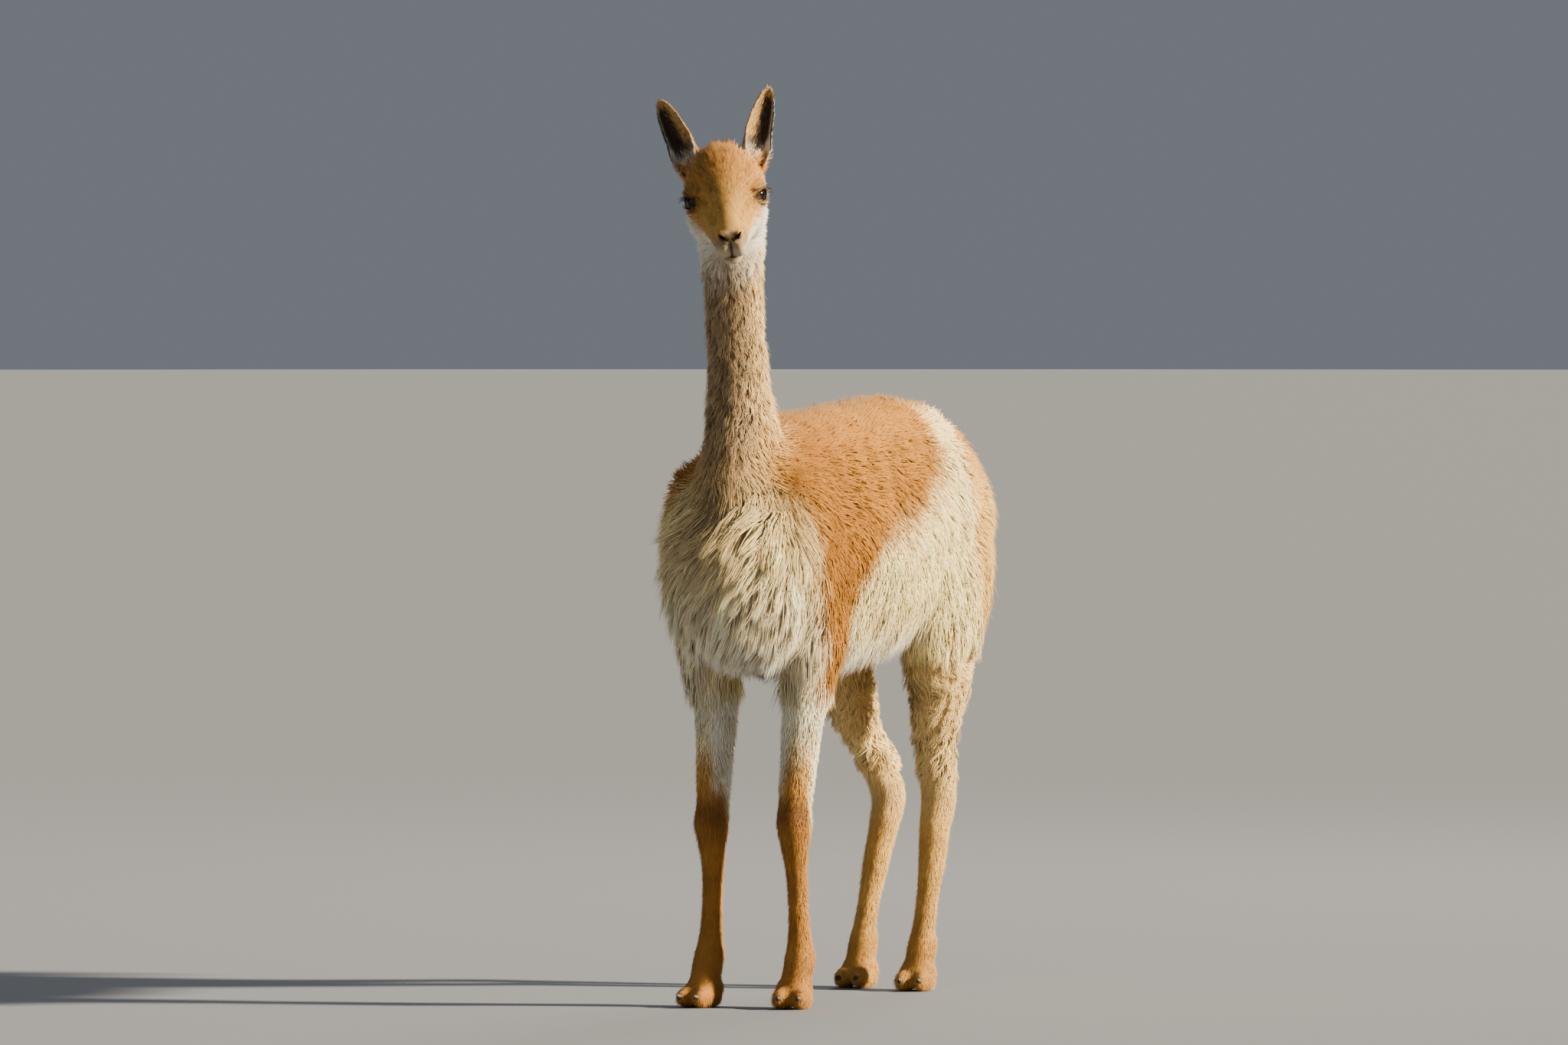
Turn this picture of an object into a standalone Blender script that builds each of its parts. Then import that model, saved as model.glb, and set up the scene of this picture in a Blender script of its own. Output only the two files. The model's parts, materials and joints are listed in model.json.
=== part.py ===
"""A life-size vicuna, standing still with its head turned to look past its left shoulder.

Run it with: blender --background --python part.py, or from Blender's text editor.
Metres, +Z up. The animal faces -Y, its left side is at +X, and its soles lie on Z = 0.
"""

import math
import random

import bmesh
import bpy
import numpy as np
from mathutils import Matrix, Vector
from mathutils.bvhtree import BVHTree

# Driving sizes, coat included, from a withers height that suits the southern form of the species.
WITHERS = 0.85
KNEE = 0.266
HOCK = 0.28
FETLOCK = 0.07
GAP = 0.0003

# Trunk, front to back: y, top, height of the widest line, bottom, half width.
TRUNK = (
    (-0.398, 0.672, 0.640, 0.602, 0.018),
    (-0.386, 0.712, 0.640, 0.560, 0.054),
    (-0.350, 0.766, 0.640, 0.516, 0.092),
    (-0.290, 0.818, 0.640, 0.494, 0.118),
    (-0.200, WITHERS, 0.642, 0.480, 0.134),
    (-0.080, 0.853, 0.648, 0.474, 0.145),
    (0.060, 0.862, 0.656, 0.478, 0.150),
    (0.170, 0.871, 0.672, 0.502, 0.144),
    (0.270, 0.866, 0.684, 0.540, 0.136),
    (0.360, 0.838, 0.692, 0.586, 0.118),
    (0.425, 0.794, 0.698, 0.626, 0.084),
    (0.458, 0.752, 0.704, 0.658, 0.042),
    (0.466, 0.726, 0.706, 0.688, 0.012),
)

# Neck, bottom to top: height, x, y, half width, half depth.
NECK = (
    (0.600, 0.000, -0.262, 0.112, 0.100),
    (0.680, 0.000, -0.262, 0.098, 0.112),
    (0.745, 0.000, -0.264, 0.076, 0.110),
    (0.815, 0.000, -0.277, 0.056, 0.084),
    (0.900, -0.001, -0.291, 0.045, 0.057),
    (0.980, -0.003, -0.294, 0.0425, 0.052),
    (1.040, -0.005, -0.298, 0.0440, 0.050),
    (1.085, -0.005, -0.302, 0.0485, 0.050),
    (1.130, -0.004, -0.305, 0.0480, 0.048),
    (1.170, 0.000, -0.312, 0.036, 0.042),
)

# Legs on the animal's left, top to bottom: height, x, y, half width, half depth.
FORELEG = (
    (0.660, 0.080, -0.215, 0.050, 0.075),
    (0.560, 0.082, -0.205, 0.048, 0.075),
    (0.490, 0.074, -0.207, 0.040, 0.056),
    (0.420, 0.067, -0.215, 0.032, 0.042),
    (0.340, 0.063, -0.227, 0.0265, 0.032),
    (KNEE + 0.028, 0.062, -0.235, 0.0250, 0.030),
    (KNEE, 0.062, -0.239, 0.0268, 0.032),
    (KNEE - 0.035, 0.062, -0.235, 0.0215, 0.026),
    (0.190, 0.063, -0.230, 0.0175, 0.0205),
    (0.130, 0.065, -0.227, 0.0165, 0.020),
    (FETLOCK + 0.022, 0.067, -0.228, 0.0195, 0.0235),
    (FETLOCK, 0.068, -0.232, 0.0230, 0.0265),
    (0.040, 0.068, -0.244, 0.0225, 0.026),
    (0.018, 0.068, -0.256, 0.0240, 0.028),
)
HINDLEG = (
    (0.760, 0.060, 0.290, 0.060, 0.100),
    (0.660, 0.080, 0.280, 0.058, 0.120),
    (0.580, 0.088, 0.260, 0.054, 0.116),
    (0.510, 0.088, 0.238, 0.050, 0.092),
    (0.450, 0.082, 0.238, 0.043, 0.066),
    (0.390, 0.072, 0.253, 0.032, 0.049),
    (0.335, 0.063, 0.277, 0.0262, 0.040),
    (HOCK, 0.057, 0.298, 0.0258, 0.035),
    (HOCK - 0.040, 0.056, 0.288, 0.0240, 0.030),
    (0.190, 0.056, 0.278, 0.0215, 0.026),
    (0.130, 0.055, 0.262, 0.0175, 0.0215),
    (FETLOCK + 0.020, 0.055, 0.250, 0.0185, 0.0225),
    (FETLOCK, 0.055, 0.244, 0.0220, 0.0255),
    (0.040, 0.055, 0.233, 0.0220, 0.026),
    (0.018, 0.055, 0.222, 0.0235, 0.028),
)
# Masses beside the columns: middle, half sizes and tip about X. Shoulder and haunch are the animal's left ones, the
# heel is measured from the hock, the stifle's Y from the thigh.
SHOULDER = ((0.082, -0.235, 0.655), (0.056, 0.090, 0.135), 0.25)
HAUNCH = ((0.074, 0.285, 0.680), (0.062, 0.125, 0.120), 0)
HEEL = ((0.0, 0.022, 0.008), (0.014, 0.020, 0.030), -0.35)
STIFLE = ((0.098, -0.075, 0.575), (0.040, 0.066, 0.070), 0.5)

# How much of a leg's stance has come in at each height, and how far round the hock its own bend reaches.
STANCE_GROWS = 0.8
HOCK_BEND_REACH = 0.11
# How far each leg stands off the tables above: its top and its foot back, its hock back and in, its toes turned out.
STANCE = {
    "front_left": (0.000, 0.004, 0.000, 0.000, math.radians(13)),
    "front_right": (0.000, -0.014, 0.000, 0.000, math.radians(9)),
    "hind_left": (0.000, 0.000, 0.000, 0.000, math.radians(7)),
    "hind_right": (0.010, 0.036, 0.022, 0.012, math.radians(2)),
}

# Head, in its own frame: +Y back, +Z crown, the origin between the eyes. Back to front: y, top, mid, bottom, half width.
HEAD = (
    (0.104, 0.030, 0.006, -0.020, 0.022),
    (0.090, 0.048, 0.004, -0.045, 0.041),
    (0.060, 0.060, 0.000, -0.060, 0.0515),
    (0.030, 0.062, -0.003, -0.066, 0.0545),
    (0.000, 0.054, -0.006, -0.066, 0.0520),
    (-0.025, 0.043, -0.012, -0.064, 0.0420),
    (-0.048, 0.031, -0.016, -0.060, 0.0325),
    (-0.070, 0.022, -0.018, -0.055, 0.0265),
    (-0.088, 0.015, -0.018, -0.048, 0.0235),
    (-0.101, 0.005, -0.018, -0.040, 0.0180),
    (-0.107, -0.006, -0.018, -0.030, 0.0090),
)
# Masses over the skull on the animal's left: name, middle, half sizes, tip about Y. The right has their mirror images.
HEAD_MASSES = (
    ("brow", (0.036, 0.006, 0.021), (0.019, 0.024, 0.011), 0.35),
    ("cheek", (0.031, 0.020, -0.030), (0.0245, 0.036, 0.032), 0),
    ("jaw", (0.025, 0.030, -0.052), (0.024, 0.036, 0.022), 0),
    ("lip", (0.0105, -0.093, -0.024), (0.0125, 0.016, 0.0165), 0),
    ("nostril_wing", (0.0115, -0.094, -0.004), (0.0085, 0.013, 0.0085), 0),
)
CHIN_AT = (0, -0.076, -0.050)
CHIN_HALF = (0.0155, 0.017, 0.0115)
SQUARENESS = 2.15
HEAD_AT = Vector((0.0139, -0.3658, 1.158))
HEAD_TURN = math.radians(24)
HEAD_TILT = math.radians(6.5)
HEAD_NOD = math.radians(27)

EYE_RADIUS = 0.0150
EYE_AT = Vector((0.0415, 0.003, 0.003))
EYE_LOOK = Vector((0.80, -0.56, 0.08)).normalized()
LID = 0.0032
# The gap between the lids, at two depths: how far out from the eye's middle, half width, half height.
LID_OPENING = ((0.004, 0.0094, 0.0068), (0.026, 0.0190, 0.0150))
LID_CORNERS = 1.25

MUZZLE_MIDDLE = -0.078
MUZZLE_CLEAR = 0.06
MOUTH_HEIGHT = -0.0405
MOUTH_SMILE = 0.006
MOUTH_HALF_ANGLE = math.radians(112)
MOUTH_STEPS = 7
MOUTH_LINE = 0.0014
LIP_SPLIT = 0.0011
NOSTRIL_AT = Vector((0.0105, -0.1035, -0.0075))
NOSTRIL_HALF = (0.0082, 0.0064, 0.0030)
NOSTRIL_SLANT = math.radians(32)
NOSTRIL_NOD = 0.3
NOSTRIL_TURN = 0.5

EAR_LENGTH = 0.101
EAR_WIDTH = 0.042
EAR_WALL = 0.0048
EAR_ROOT = Vector((0.045, 0.058, 0.034))
EAR_TIP = Vector((0.078, 0.109, 0.113))
EAR_OPENS = Vector((0.42, -0.90, 0.30))
EAR_SUNK = 0.016
# How wide an ear is at its root and how fast it widens, how far up it stays widest, and how far its rims wrap round.
EAR_ROOT_SHARE = 0.62
EAR_WIDENS = 1.3
EAR_NARROWS_FROM = 0.3
EAR_WRAP_AT_ROOT = 128
EAR_WRAP = 66
EAR_WRAP_OPENS_BY = 0.45
EAR_RINGS = 10
EAR_HALF_SIDES = 3

HEAD_CUT = (0.0, -0.315, 1.085)
HEAD_CUT_TIP = math.radians(24)
NECK_CUT = (0.0, -0.285, 0.852)
NECK_CUT_TIP = math.radians(28)
FORELEG_TOP = 0.452
HINDLEG_TOP = 0.480
FOOT_TOP = 0.088
JOINT_CUT_UNDER = 0.012
# The boxes that mark out the regions: head and neck, one leg, one foot.
UPPER_REGION = (0.5, 0.6, 0.4)
LEG_REGION = (0.19, 0.38)
LEG_REGION_X = 0.105
FOOT_REGION = 0.2

# How fine the skins are and how much they are smoothed. Above the legs the body is smoothed more.
BODY_VOXEL = 0.005
HEAD_VOXEL = 0.003
FOOT_VOXEL = 0.0028
SOFT_FROM = 0.500
SOFT_BAND = 0.050
SOFT_ROUNDS = 4
SOFT_BODY_ROUNDS = 30
BODY_TRIANGLES = 3100
HEAD_TRIANGLES = 2300
FOOT_TRIANGLES = 640

# Long hair: how deep a lock is rooted, its outline across, how it falls and rises off the skin, how it tapers.
ROOTED = 0.009
LOCK_SECTION = ((-1.0, -0.35), (1.0, -0.35), (0.0, 0.95))
LOCK_FALL = 0.4
LOCK_RISES = 0.8
LOCK_CLINGS = 0.6
LOCK_OVERHANG = 0.3
LOCK_TAPER = 1.6
LOCK_THINS = 0.5
OUTSIDE = 0.4

# The chest's bib, in rows round an upright axis inside the chest. The upper rows reach less far round.
BIB_ROWS = 8
BIB_TOP = 0.772
BIB_BOTTOM = 0.522
BIB_AXIS_Y = -0.245
BIB_SPREAD = math.radians(84)
BIB_TOP_SPREAD = 0.80
BIB_WIDENS_IN = 3
BIB_SPACING = 0.030
BIB_LENGTH = 0.118
BIB_WIDTH = 0.033
BIB_THICKNESS = 0.009
BIB_LIFT = 0.013
BIB_SWEEP = 0.42
BIB_STRAY = 0.2
BIB_BEND = 0.16
BIB_SHORTEST = 0.045
BIB_RAGGED = 0.010
BIB_SLACK = 1.16
BIB_LOWEST_TIP = 0.474

# The fringe of the belly: each row's height, its locks' length and its stagger. It rises towards the flank.
FRINGE_ROWS = ((0.562, 0.078, 0.5), (0.532, 0.066, 0.0))
FRINGE_FROM = -0.132
FRINGE_TO = 0.145
FRINGE_RISE = 0.040
FRINGE_RISES_FROM = 0.4
FRINGE_SPACING = 0.030
FRINGE_WIDTH = 0.033
FRINGE_THICKNESS = 0.009
FRINGE_LIFT = 0.006
FRINGE_BEND = 0.12
FRINGE_LOWEST_TIP = 0.459

TAIL_LOCK_ROWS = (0.710, 0.655)
TAIL_LOCKS_IN_ROW = 5
TAIL_LOCK_ARC = 1.1 * math.pi
TAIL_LOCK_LENGTH = 0.085
TAIL_LOCK_WIDTH = 0.030
TAIL_LOCK_THICKNESS = 0.009
TAIL_LOCK_LIFT = 0.004
TAIL_LOCK_BEND = 0.1
TAIL_AXIS = (0.008, 0.458)

# The curly wool of the thigh: rows of clumps, from the outside round to the back.
CURL_ROWS = 5
CURLS_IN_ROW = 3
CURL_TOP = 0.452
CURL_BOTTOM = 0.350
CURL_HALF = Vector((0.0150, 0.0150, 0.0200))
CURL_FROM = -0.30 * math.pi
CURL_STEP = 0.28 * math.pi
CURL_SUNK = 0.009
CURL_TIP = 0.4

# Tail, top to bottom: height, x, y, half width, half depth.
TAIL = (
    (0.790, 0.000, 0.420, 0.026, 0.026),
    (0.755, 0.001, 0.448, 0.034, 0.029),
    (0.710, 0.004, 0.462, 0.040, 0.029),
    (0.655, 0.010, 0.460, 0.039, 0.027),
    (0.610, 0.016, 0.452, 0.030, 0.022),
    (0.582, 0.020, 0.446, 0.013, 0.011),
)

TOE_LENGTH = 0.068
TOE_WIDTH = 0.028
TOE_HEIGHT = 0.036
# Each toe is two balls: their half sizes as shares of the toe's, and how far back and up they sit.
TOE_BALLS = (((0.5, 0.5, 0.5), (0, 0, 0)), ((0.42, 0.34, 0.44), (0, 0.016, 0.014)))
NAIL_LENGTH = 0.022
NAIL_WIDTH = 0.013
NAIL_HEIGHT = 0.0066
NAIL_TIP = -0.35

COLOURS = {
    "fawn": (0.62, 0.36, 0.15, 1.0),
    "cream": (0.78, 0.66, 0.47, 1.0),
    "rust": (0.50, 0.24, 0.08, 1.0),
    "eye": (0.02, 0.012, 0.008, 1.0),
    "nail": (0.06, 0.05, 0.045, 1.0),
}


def material(name, roughness):
    """A plain Principled material of one colour."""
    made = bpy.data.materials.new(name)
    made.use_nodes = True
    shader = made.node_tree.nodes["Principled BSDF"]
    shader.inputs["Base Color"].default_value = COLOURS[name]
    shader.inputs["Roughness"].default_value = roughness
    return made


def smooth_rows(rows, per_gap=4):
    """Rows of a table with more between them, on a Catmull-Rom curve through the given ones."""
    rows = np.array(rows, float)
    ends = np.vstack([2 * rows[0] - rows[1], rows, 2 * rows[-1] - rows[-2]])
    found = []
    for i in range(1, len(rows)):
        a, b, c, d = ends[i - 1 : i + 3]
        for step in range(per_gap):
            t = step / per_gap
            found.append(
                0.5 * (2 * b + (c - a) * t + (2 * a - 5 * b + 4 * c - d) * t**2 + (3 * b - a - 3 * c + d) * t**3)
            )
    found.append(rows[-1])
    return np.array(found)


def loft(name, rings):
    """A closed tube through rings of points, with flat ends."""
    mesh = bmesh.new()
    made = [[mesh.verts.new(point) for point in ring] for ring in rings]
    sides = len(made[0])
    for near, far in zip(made, made[1:]):
        for i in range(sides):
            j = (i + 1) % sides
            mesh.faces.new((near[i], near[j], far[j], far[i]))
    mesh.faces.new(made[0][::-1])
    mesh.faces.new(made[-1])
    bmesh.ops.recalc_face_normals(mesh, faces=mesh.faces)
    return mesh_object(name, mesh)


def mesh_object(name, mesh):
    """A new object in the scene from a bmesh."""
    data = bpy.data.meshes.new(name)
    mesh.to_mesh(data)
    mesh.free()
    obj = bpy.data.objects.new(name, data)
    bpy.context.scene.collection.objects.link(obj)
    return obj


def turns(count):
    return [2 * math.pi * i / count for i in range(count)]


def barrel(name, rows, sides=28):
    """A body along Y from rows of y, top, widest height, bottom and half width."""
    rings = []
    for y, top, middle, bottom, half in smooth_rows(rows):
        ring = []
        for turn in turns(sides):
            c, s = math.cos(turn), math.sin(turn)
            across = math.copysign(abs(c) ** (2 / SQUARENESS), c)
            up = math.copysign(abs(s) ** (2 / SQUARENESS), s)
            rise = top - middle if s > 0 else middle - bottom
            ring.append((half * across, y, middle + rise * up))
        rings.append(ring)
    return loft(name, rings)


def column(name, rows, sides=24, per_gap=4):
    """A limb along Z from rows of height, x, y, half width and half depth."""
    rings = []
    for z, x, y, half_width, half_depth in smooth_rows(rows, per_gap):
        rings.append([(x + half_width * math.cos(t), y + half_depth * math.sin(t), z) for t in turns(sides)])
    return loft(name, rings)


def ball(name, centre, half_sizes, turn=(0, 0, 0), fine=True):
    """A solid ellipsoid."""
    mesh = bmesh.new()
    segments, rings = (24, 16) if fine else (7, 5)
    bmesh.ops.create_uvsphere(mesh, u_segments=segments, v_segments=rings, radius=1)
    place = Matrix.Translation(centre)
    for axis, angle in zip("ZYX", reversed(turn)):
        place = place @ Matrix.Rotation(angle, 4, axis)
    place = place @ Matrix.Diagonal((*half_sizes, 1))
    bmesh.ops.transform(mesh, matrix=place, verts=mesh.verts)
    return mesh_object(name, mesh)


def remove(objects):
    for obj in objects:
        bpy.data.objects.remove(obj)


def applied(obj):
    """Replaces an object's mesh by what its modifiers make of it."""
    bpy.context.view_layer.update()
    graph = bpy.context.evaluated_depsgraph_get()
    data = bpy.data.meshes.new_from_object(obj.evaluated_get(graph))
    obj.modifiers.clear()
    old = obj.data
    obj.data = data
    bpy.data.meshes.remove(old)
    return obj


def joined(name, objects):
    """One object that holds all the loose shells of several."""
    mesh = bmesh.new()
    for obj in objects:
        mesh.from_mesh(obj.data)
    remove(objects)
    return mesh_object(name, mesh)


def fused(obj, voxel):
    """Fuses overlapping shells into one skin of even small faces."""
    remesh = obj.modifiers.new("Fuse", "REMESH")
    remesh.mode = "VOXEL"
    remesh.voxel_size = voxel
    return applied(obj)


def softened(obj, rounds, above=None):
    """Rounds off creases, all over or only above a height."""
    soften = obj.modifiers.new("Soften", "SMOOTH")
    soften.factor = 0.5
    soften.iterations = rounds
    if above is not None:
        group = obj.vertex_groups.new(name="soft")
        for vert in obj.data.vertices:
            group.add([vert.index], min(1, max(0, (vert.co.z - above) / SOFT_BAND)), "REPLACE")
        soften.vertex_group = group.name
    applied(obj)
    obj.vertex_groups.clear()
    return obj


def lightened(obj, triangles):
    """Thins a skin to about the given number of triangles."""
    obj.data.calc_loop_triangles()
    lighten = obj.modifiers.new("Lighten", "DECIMATE")
    lighten.ratio = triangles / len(obj.data.loop_triangles)
    return applied(obj)


def boolean(obj, operation, other, solver="EXACT"):
    """Cuts or joins one object by another and applies the result. The other is kept."""
    modifier = obj.modifiers.new(operation.title(), "BOOLEAN")
    modifier.operation = operation
    modifier.solver = solver
    modifier.object = other
    return applied(obj)


def copied(obj, name, swell=0.0):
    """A copy of an object, swollen along its normals."""
    twin = bpy.data.objects.new(name, obj.data.copy())
    bpy.context.scene.collection.objects.link(twin)
    if swell:
        modifier = twin.modifiers.new("Swell", "DISPLACE")
        modifier.strength = swell
        modifier.mid_level = 0
        applied(twin)
    return twin


def block(name, centre, sizes, tip=0.0, swell=0.0):
    """A box, tipped about X, that marks out a region of the body."""
    mesh = bmesh.new()
    bmesh.ops.create_cube(mesh, size=1)
    grown = [size + 2 * swell for size in sizes]
    place = Matrix.Translation(centre) @ Matrix.Rotation(tip, 4, "X") @ Matrix.Diagonal((*grown, 1))
    bmesh.ops.transform(mesh, matrix=place, verts=mesh.verts)
    return mesh_object(name, mesh)


def largest_shell(obj):
    """Keeps the biggest closed surface of an object and drops scraps."""
    mesh = bmesh.new()
    mesh.from_mesh(obj.data)
    left, shells = set(mesh.verts), []
    while left:
        stack, shell = [left.pop()], set()
        while stack:
            vert = stack.pop()
            shell.add(vert)
            for edge in vert.link_edges:
                other = edge.other_vert(vert)
                if other in left:
                    left.remove(other)
                    stack.append(other)
        shells.append(shell)
    keep = max(shells, key=len)
    bmesh.ops.delete(mesh, geom=[v for v in mesh.verts if v not in keep], context="VERTS")
    bmesh.ops.triangulate(mesh, faces=mesh.faces)
    mesh.to_mesh(obj.data)
    mesh.free()
    return obj


def part_off(name, body, centre, sizes, tip=0.0):
    """Parts a region off the body as its own object, with a thin gap between the two."""
    piece = copied(body, name)
    region = block("region", centre, sizes, tip)
    boolean(piece, "INTERSECT", region)
    wider = block("wider", centre, sizes, tip, swell=GAP)
    boolean(body, "DIFFERENCE", wider)
    remove([region, wider])
    return largest_shell(piece)


def leg_rows(name):
    """A leg's table with its stance: each row moves by a share that grows towards the foot."""
    hind, side = leg_kind(name)
    at_top, at_foot, hock_back, hock_in, _ = STANCE[name]
    table = HINDLEG if hind else FORELEG
    top = table[0][0]
    rows = []
    for z, x, y, half_width, half_depth in table:
        share = (1 - z / top) ** STANCE_GROWS
        bend = math.exp(-(((z - HOCK) / HOCK_BEND_REACH) ** 2))
        back = at_top + (at_foot - at_top) * share + hock_back * bend
        rows.append((z, side * (x - hock_in * bend), y + back, half_width, half_depth))
    return rows


def leg_kind(name):
    """Whether a leg is a hind one, and which side it is on."""
    return name.startswith("hind"), 1 if name.endswith("left") else -1


def foot_frame(name):
    """A foot's own frame on the floor: -Y runs to the toes, turned out from the animal's."""
    _, side = leg_kind(name)
    _, x, y, _, _ = leg_rows(name)[-1]
    return Matrix.Translation((x, y, 0)) @ Matrix.Rotation(side * STANCE[name][4], 4, "Z")


def toe_middles():
    """The middles of the two toes, in the foot's own frame."""
    return [Vector((across * TOE_WIDTH * 0.52, -TOE_LENGTH * 0.10, TOE_HEIGHT * 0.40)) for across in (-1, 1)]


def leg_pieces(name):
    """The masses of one leg: its column, its heel and its toes."""
    hind, side = leg_kind(name)
    rows = leg_rows(name)
    pieces = [column(name + "_column", rows)]
    if hind:
        z, x, y, _, _ = next(row for row in rows if row[0] == HOCK)
        offset, half, tip = HEEL
        pieces.append(ball("heel", Vector((x, y, z)) + Vector(offset), half, (tip, 0, 0)))
        offset, half, tip = STIFLE
        stifle = mirrored(offset, side) + Vector((0, rows[2][2], 0))
        pieces.append(ball("stifle", stifle, half, (tip, 0, 0)))
    for middle in toe_middles():
        for share, offset in TOE_BALLS:
            half = (TOE_WIDTH * share[0], TOE_LENGTH * share[1], TOE_HEIGHT * share[2])
            toe = ball("toe", middle + Vector(offset), half)
            toe.data.transform(foot_frame(name))
            pieces.append(toe)
    return pieces


def head_frame():
    """Where the head's own frame sits on the animal."""
    turn = Matrix.Rotation(HEAD_TURN, 4, "Z") @ Matrix.Rotation(-HEAD_TILT, 4, "Y")
    return Matrix.Translation(HEAD_AT) @ turn @ Matrix.Rotation(HEAD_NOD, 4, "X")


def mirrored(point, side):
    return Vector((side * point[0], point[1], point[2]))


def head_pieces():
    """The masses of the head, in its own frame."""
    pieces = [barrel("skull", HEAD), ball("chin", CHIN_AT, CHIN_HALF)]
    for side in (-1, 1):
        for name, middle, half, tip in HEAD_MASSES:
            pieces.append(ball(name, mirrored(middle, side), half, (0, side * tip, 0)))
    return pieces


def build_head():
    """The whole head, with the top of the neck under it."""
    pieces = head_pieces()
    for side in (-1, 1):
        mound = mirrored(EYE_AT, side)
        pieces.append(ball("eye_mound", mound, [EYE_RADIUS + LID] * 3))
    for piece in pieces:
        piece.data.transform(head_frame())
    neck = column("neck_top", NECK)
    whole = fused(joined("head_whole", [*pieces, neck]), HEAD_VOXEL)
    return lightened(softened(whole, SOFT_ROUNDS), HEAD_TRIANGLES)


def eye_frame(side):
    """The eyeball's frame: its Z looks out, its Y runs up the lids."""
    look = mirrored(EYE_LOOK, side)
    up = Vector((0, 0.12, 1))
    up = (up - up.project(look)).normalized()
    across = up.cross(look)
    turn = Matrix((across, up, look)).transposed().to_4x4()
    return Matrix.Translation(mirrored(EYE_AT, side)) @ turn


def eyeball(name, side, swell=0.0):
    """A round eyeball in the head's frame."""
    mesh = bmesh.new()
    bmesh.ops.create_uvsphere(mesh, u_segments=16, v_segments=8, radius=EYE_RADIUS + swell)
    bmesh.ops.transform(mesh, matrix=eye_frame(side), verts=mesh.verts)
    return mesh_object(name, mesh)


def lid_opening(side):
    """A flaring almond that cuts the gap between the lids."""
    rings = []
    for reach, half_wide, half_high in LID_OPENING:
        ring = []
        for turn in turns(16):
            pinch = abs(math.sin(turn)) ** LID_CORNERS
            high = half_high * math.copysign(pinch, math.sin(turn))
            ring.append(eye_frame(side) @ Vector((half_wide * math.cos(turn), high, reach)))
        rings.append(ring)
    return loft("lid_opening", rings)


def as_mesh(curve_object, name):
    """Turns a curve object into a mesh with its end caps welded on."""
    bpy.context.view_layer.update()
    graph = bpy.context.evaluated_depsgraph_get()
    data = bpy.data.meshes.new_from_object(curve_object.evaluated_get(graph))
    mesh = bmesh.new()
    mesh.from_mesh(data)
    bmesh.ops.remove_doubles(mesh, verts=mesh.verts, dist=0.00001)
    bpy.data.meshes.remove(data)
    remove([curve_object])
    return mesh_object(name, mesh)


def cord(name, points, thickness):
    """A round bar through points."""
    curve = bpy.data.curves.new(name, "CURVE")
    curve.dimensions = "3D"
    curve.bevel_depth = thickness
    curve.bevel_resolution = 0
    curve.use_fill_caps = True
    spline = curve.splines.new("POLY")
    spline.points.add(len(points) - 1)
    for spot, point in zip(spline.points, points):
        spot.co = (*point, 1)
    obj = bpy.data.objects.new(name, curve)
    bpy.context.scene.collection.objects.link(obj)
    return as_mesh(obj, name)


def surface_of(obj):
    """A tree that finds the nearest point of an object's surface, or where a ray meets it."""
    bpy.context.view_layer.update()
    return BVHTree.FromObject(obj, bpy.context.evaluated_depsgraph_get())


def on_muzzle(tree, angle, height):
    """The point of the muzzle seen from its middle at an angle from the front, in the head's frame."""
    inward = Vector((-math.sin(angle), math.cos(angle), 0))
    start = Vector((0, MUZZLE_MIDDLE, height)) - inward * MUZZLE_CLEAR
    spot, _, _, _ = tree.ray_cast(start, inward)
    return spot


def mouth_cuts(head):
    """The line of the mouth and the split of the upper lip, as bars sunk in the skin."""
    tree = surface_of(head)
    line = []
    for step in range(-MOUTH_STEPS, MOUTH_STEPS + 1):
        share = step / MOUTH_STEPS
        height = MOUTH_HEIGHT + MOUTH_SMILE * share**2
        line.append(on_muzzle(tree, share * MOUTH_HALF_ANGLE, height))
    heights = np.linspace(MOUTH_HEIGHT, NOSTRIL_AT.z - NOSTRIL_HALF[2], 5)
    split = [on_muzzle(tree, 0, height) for height in heights]
    return [cord("mouth_line", line, MOUTH_LINE), cord("lip_split", split, LIP_SPLIT)]


def nostril(side):
    """A slanting slit in the wing of the nose."""
    turn = (NOSTRIL_NOD, -side * NOSTRIL_SLANT, -side * NOSTRIL_TURN)
    return ball("nostril", mirrored(NOSTRIL_AT, side), NOSTRIL_HALF, turn, fine=False)


def finish_head(head):
    """Cuts eyes, nostrils and mouth out of the head, in its own frame, and puts it back in place."""
    to_own = head_frame().inverted()
    head.data.transform(to_own)
    cutters = mouth_cuts(head)
    for side in (-1, 1):
        cutters += [eyeball("socket", side, GAP), lid_opening(side), nostril(side)]
    for cutter in cutters:
        boolean(head, "DIFFERENCE", cutter)
    remove(cutters)
    largest_shell(head)
    head.data.transform(head_frame())
    return head


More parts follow.
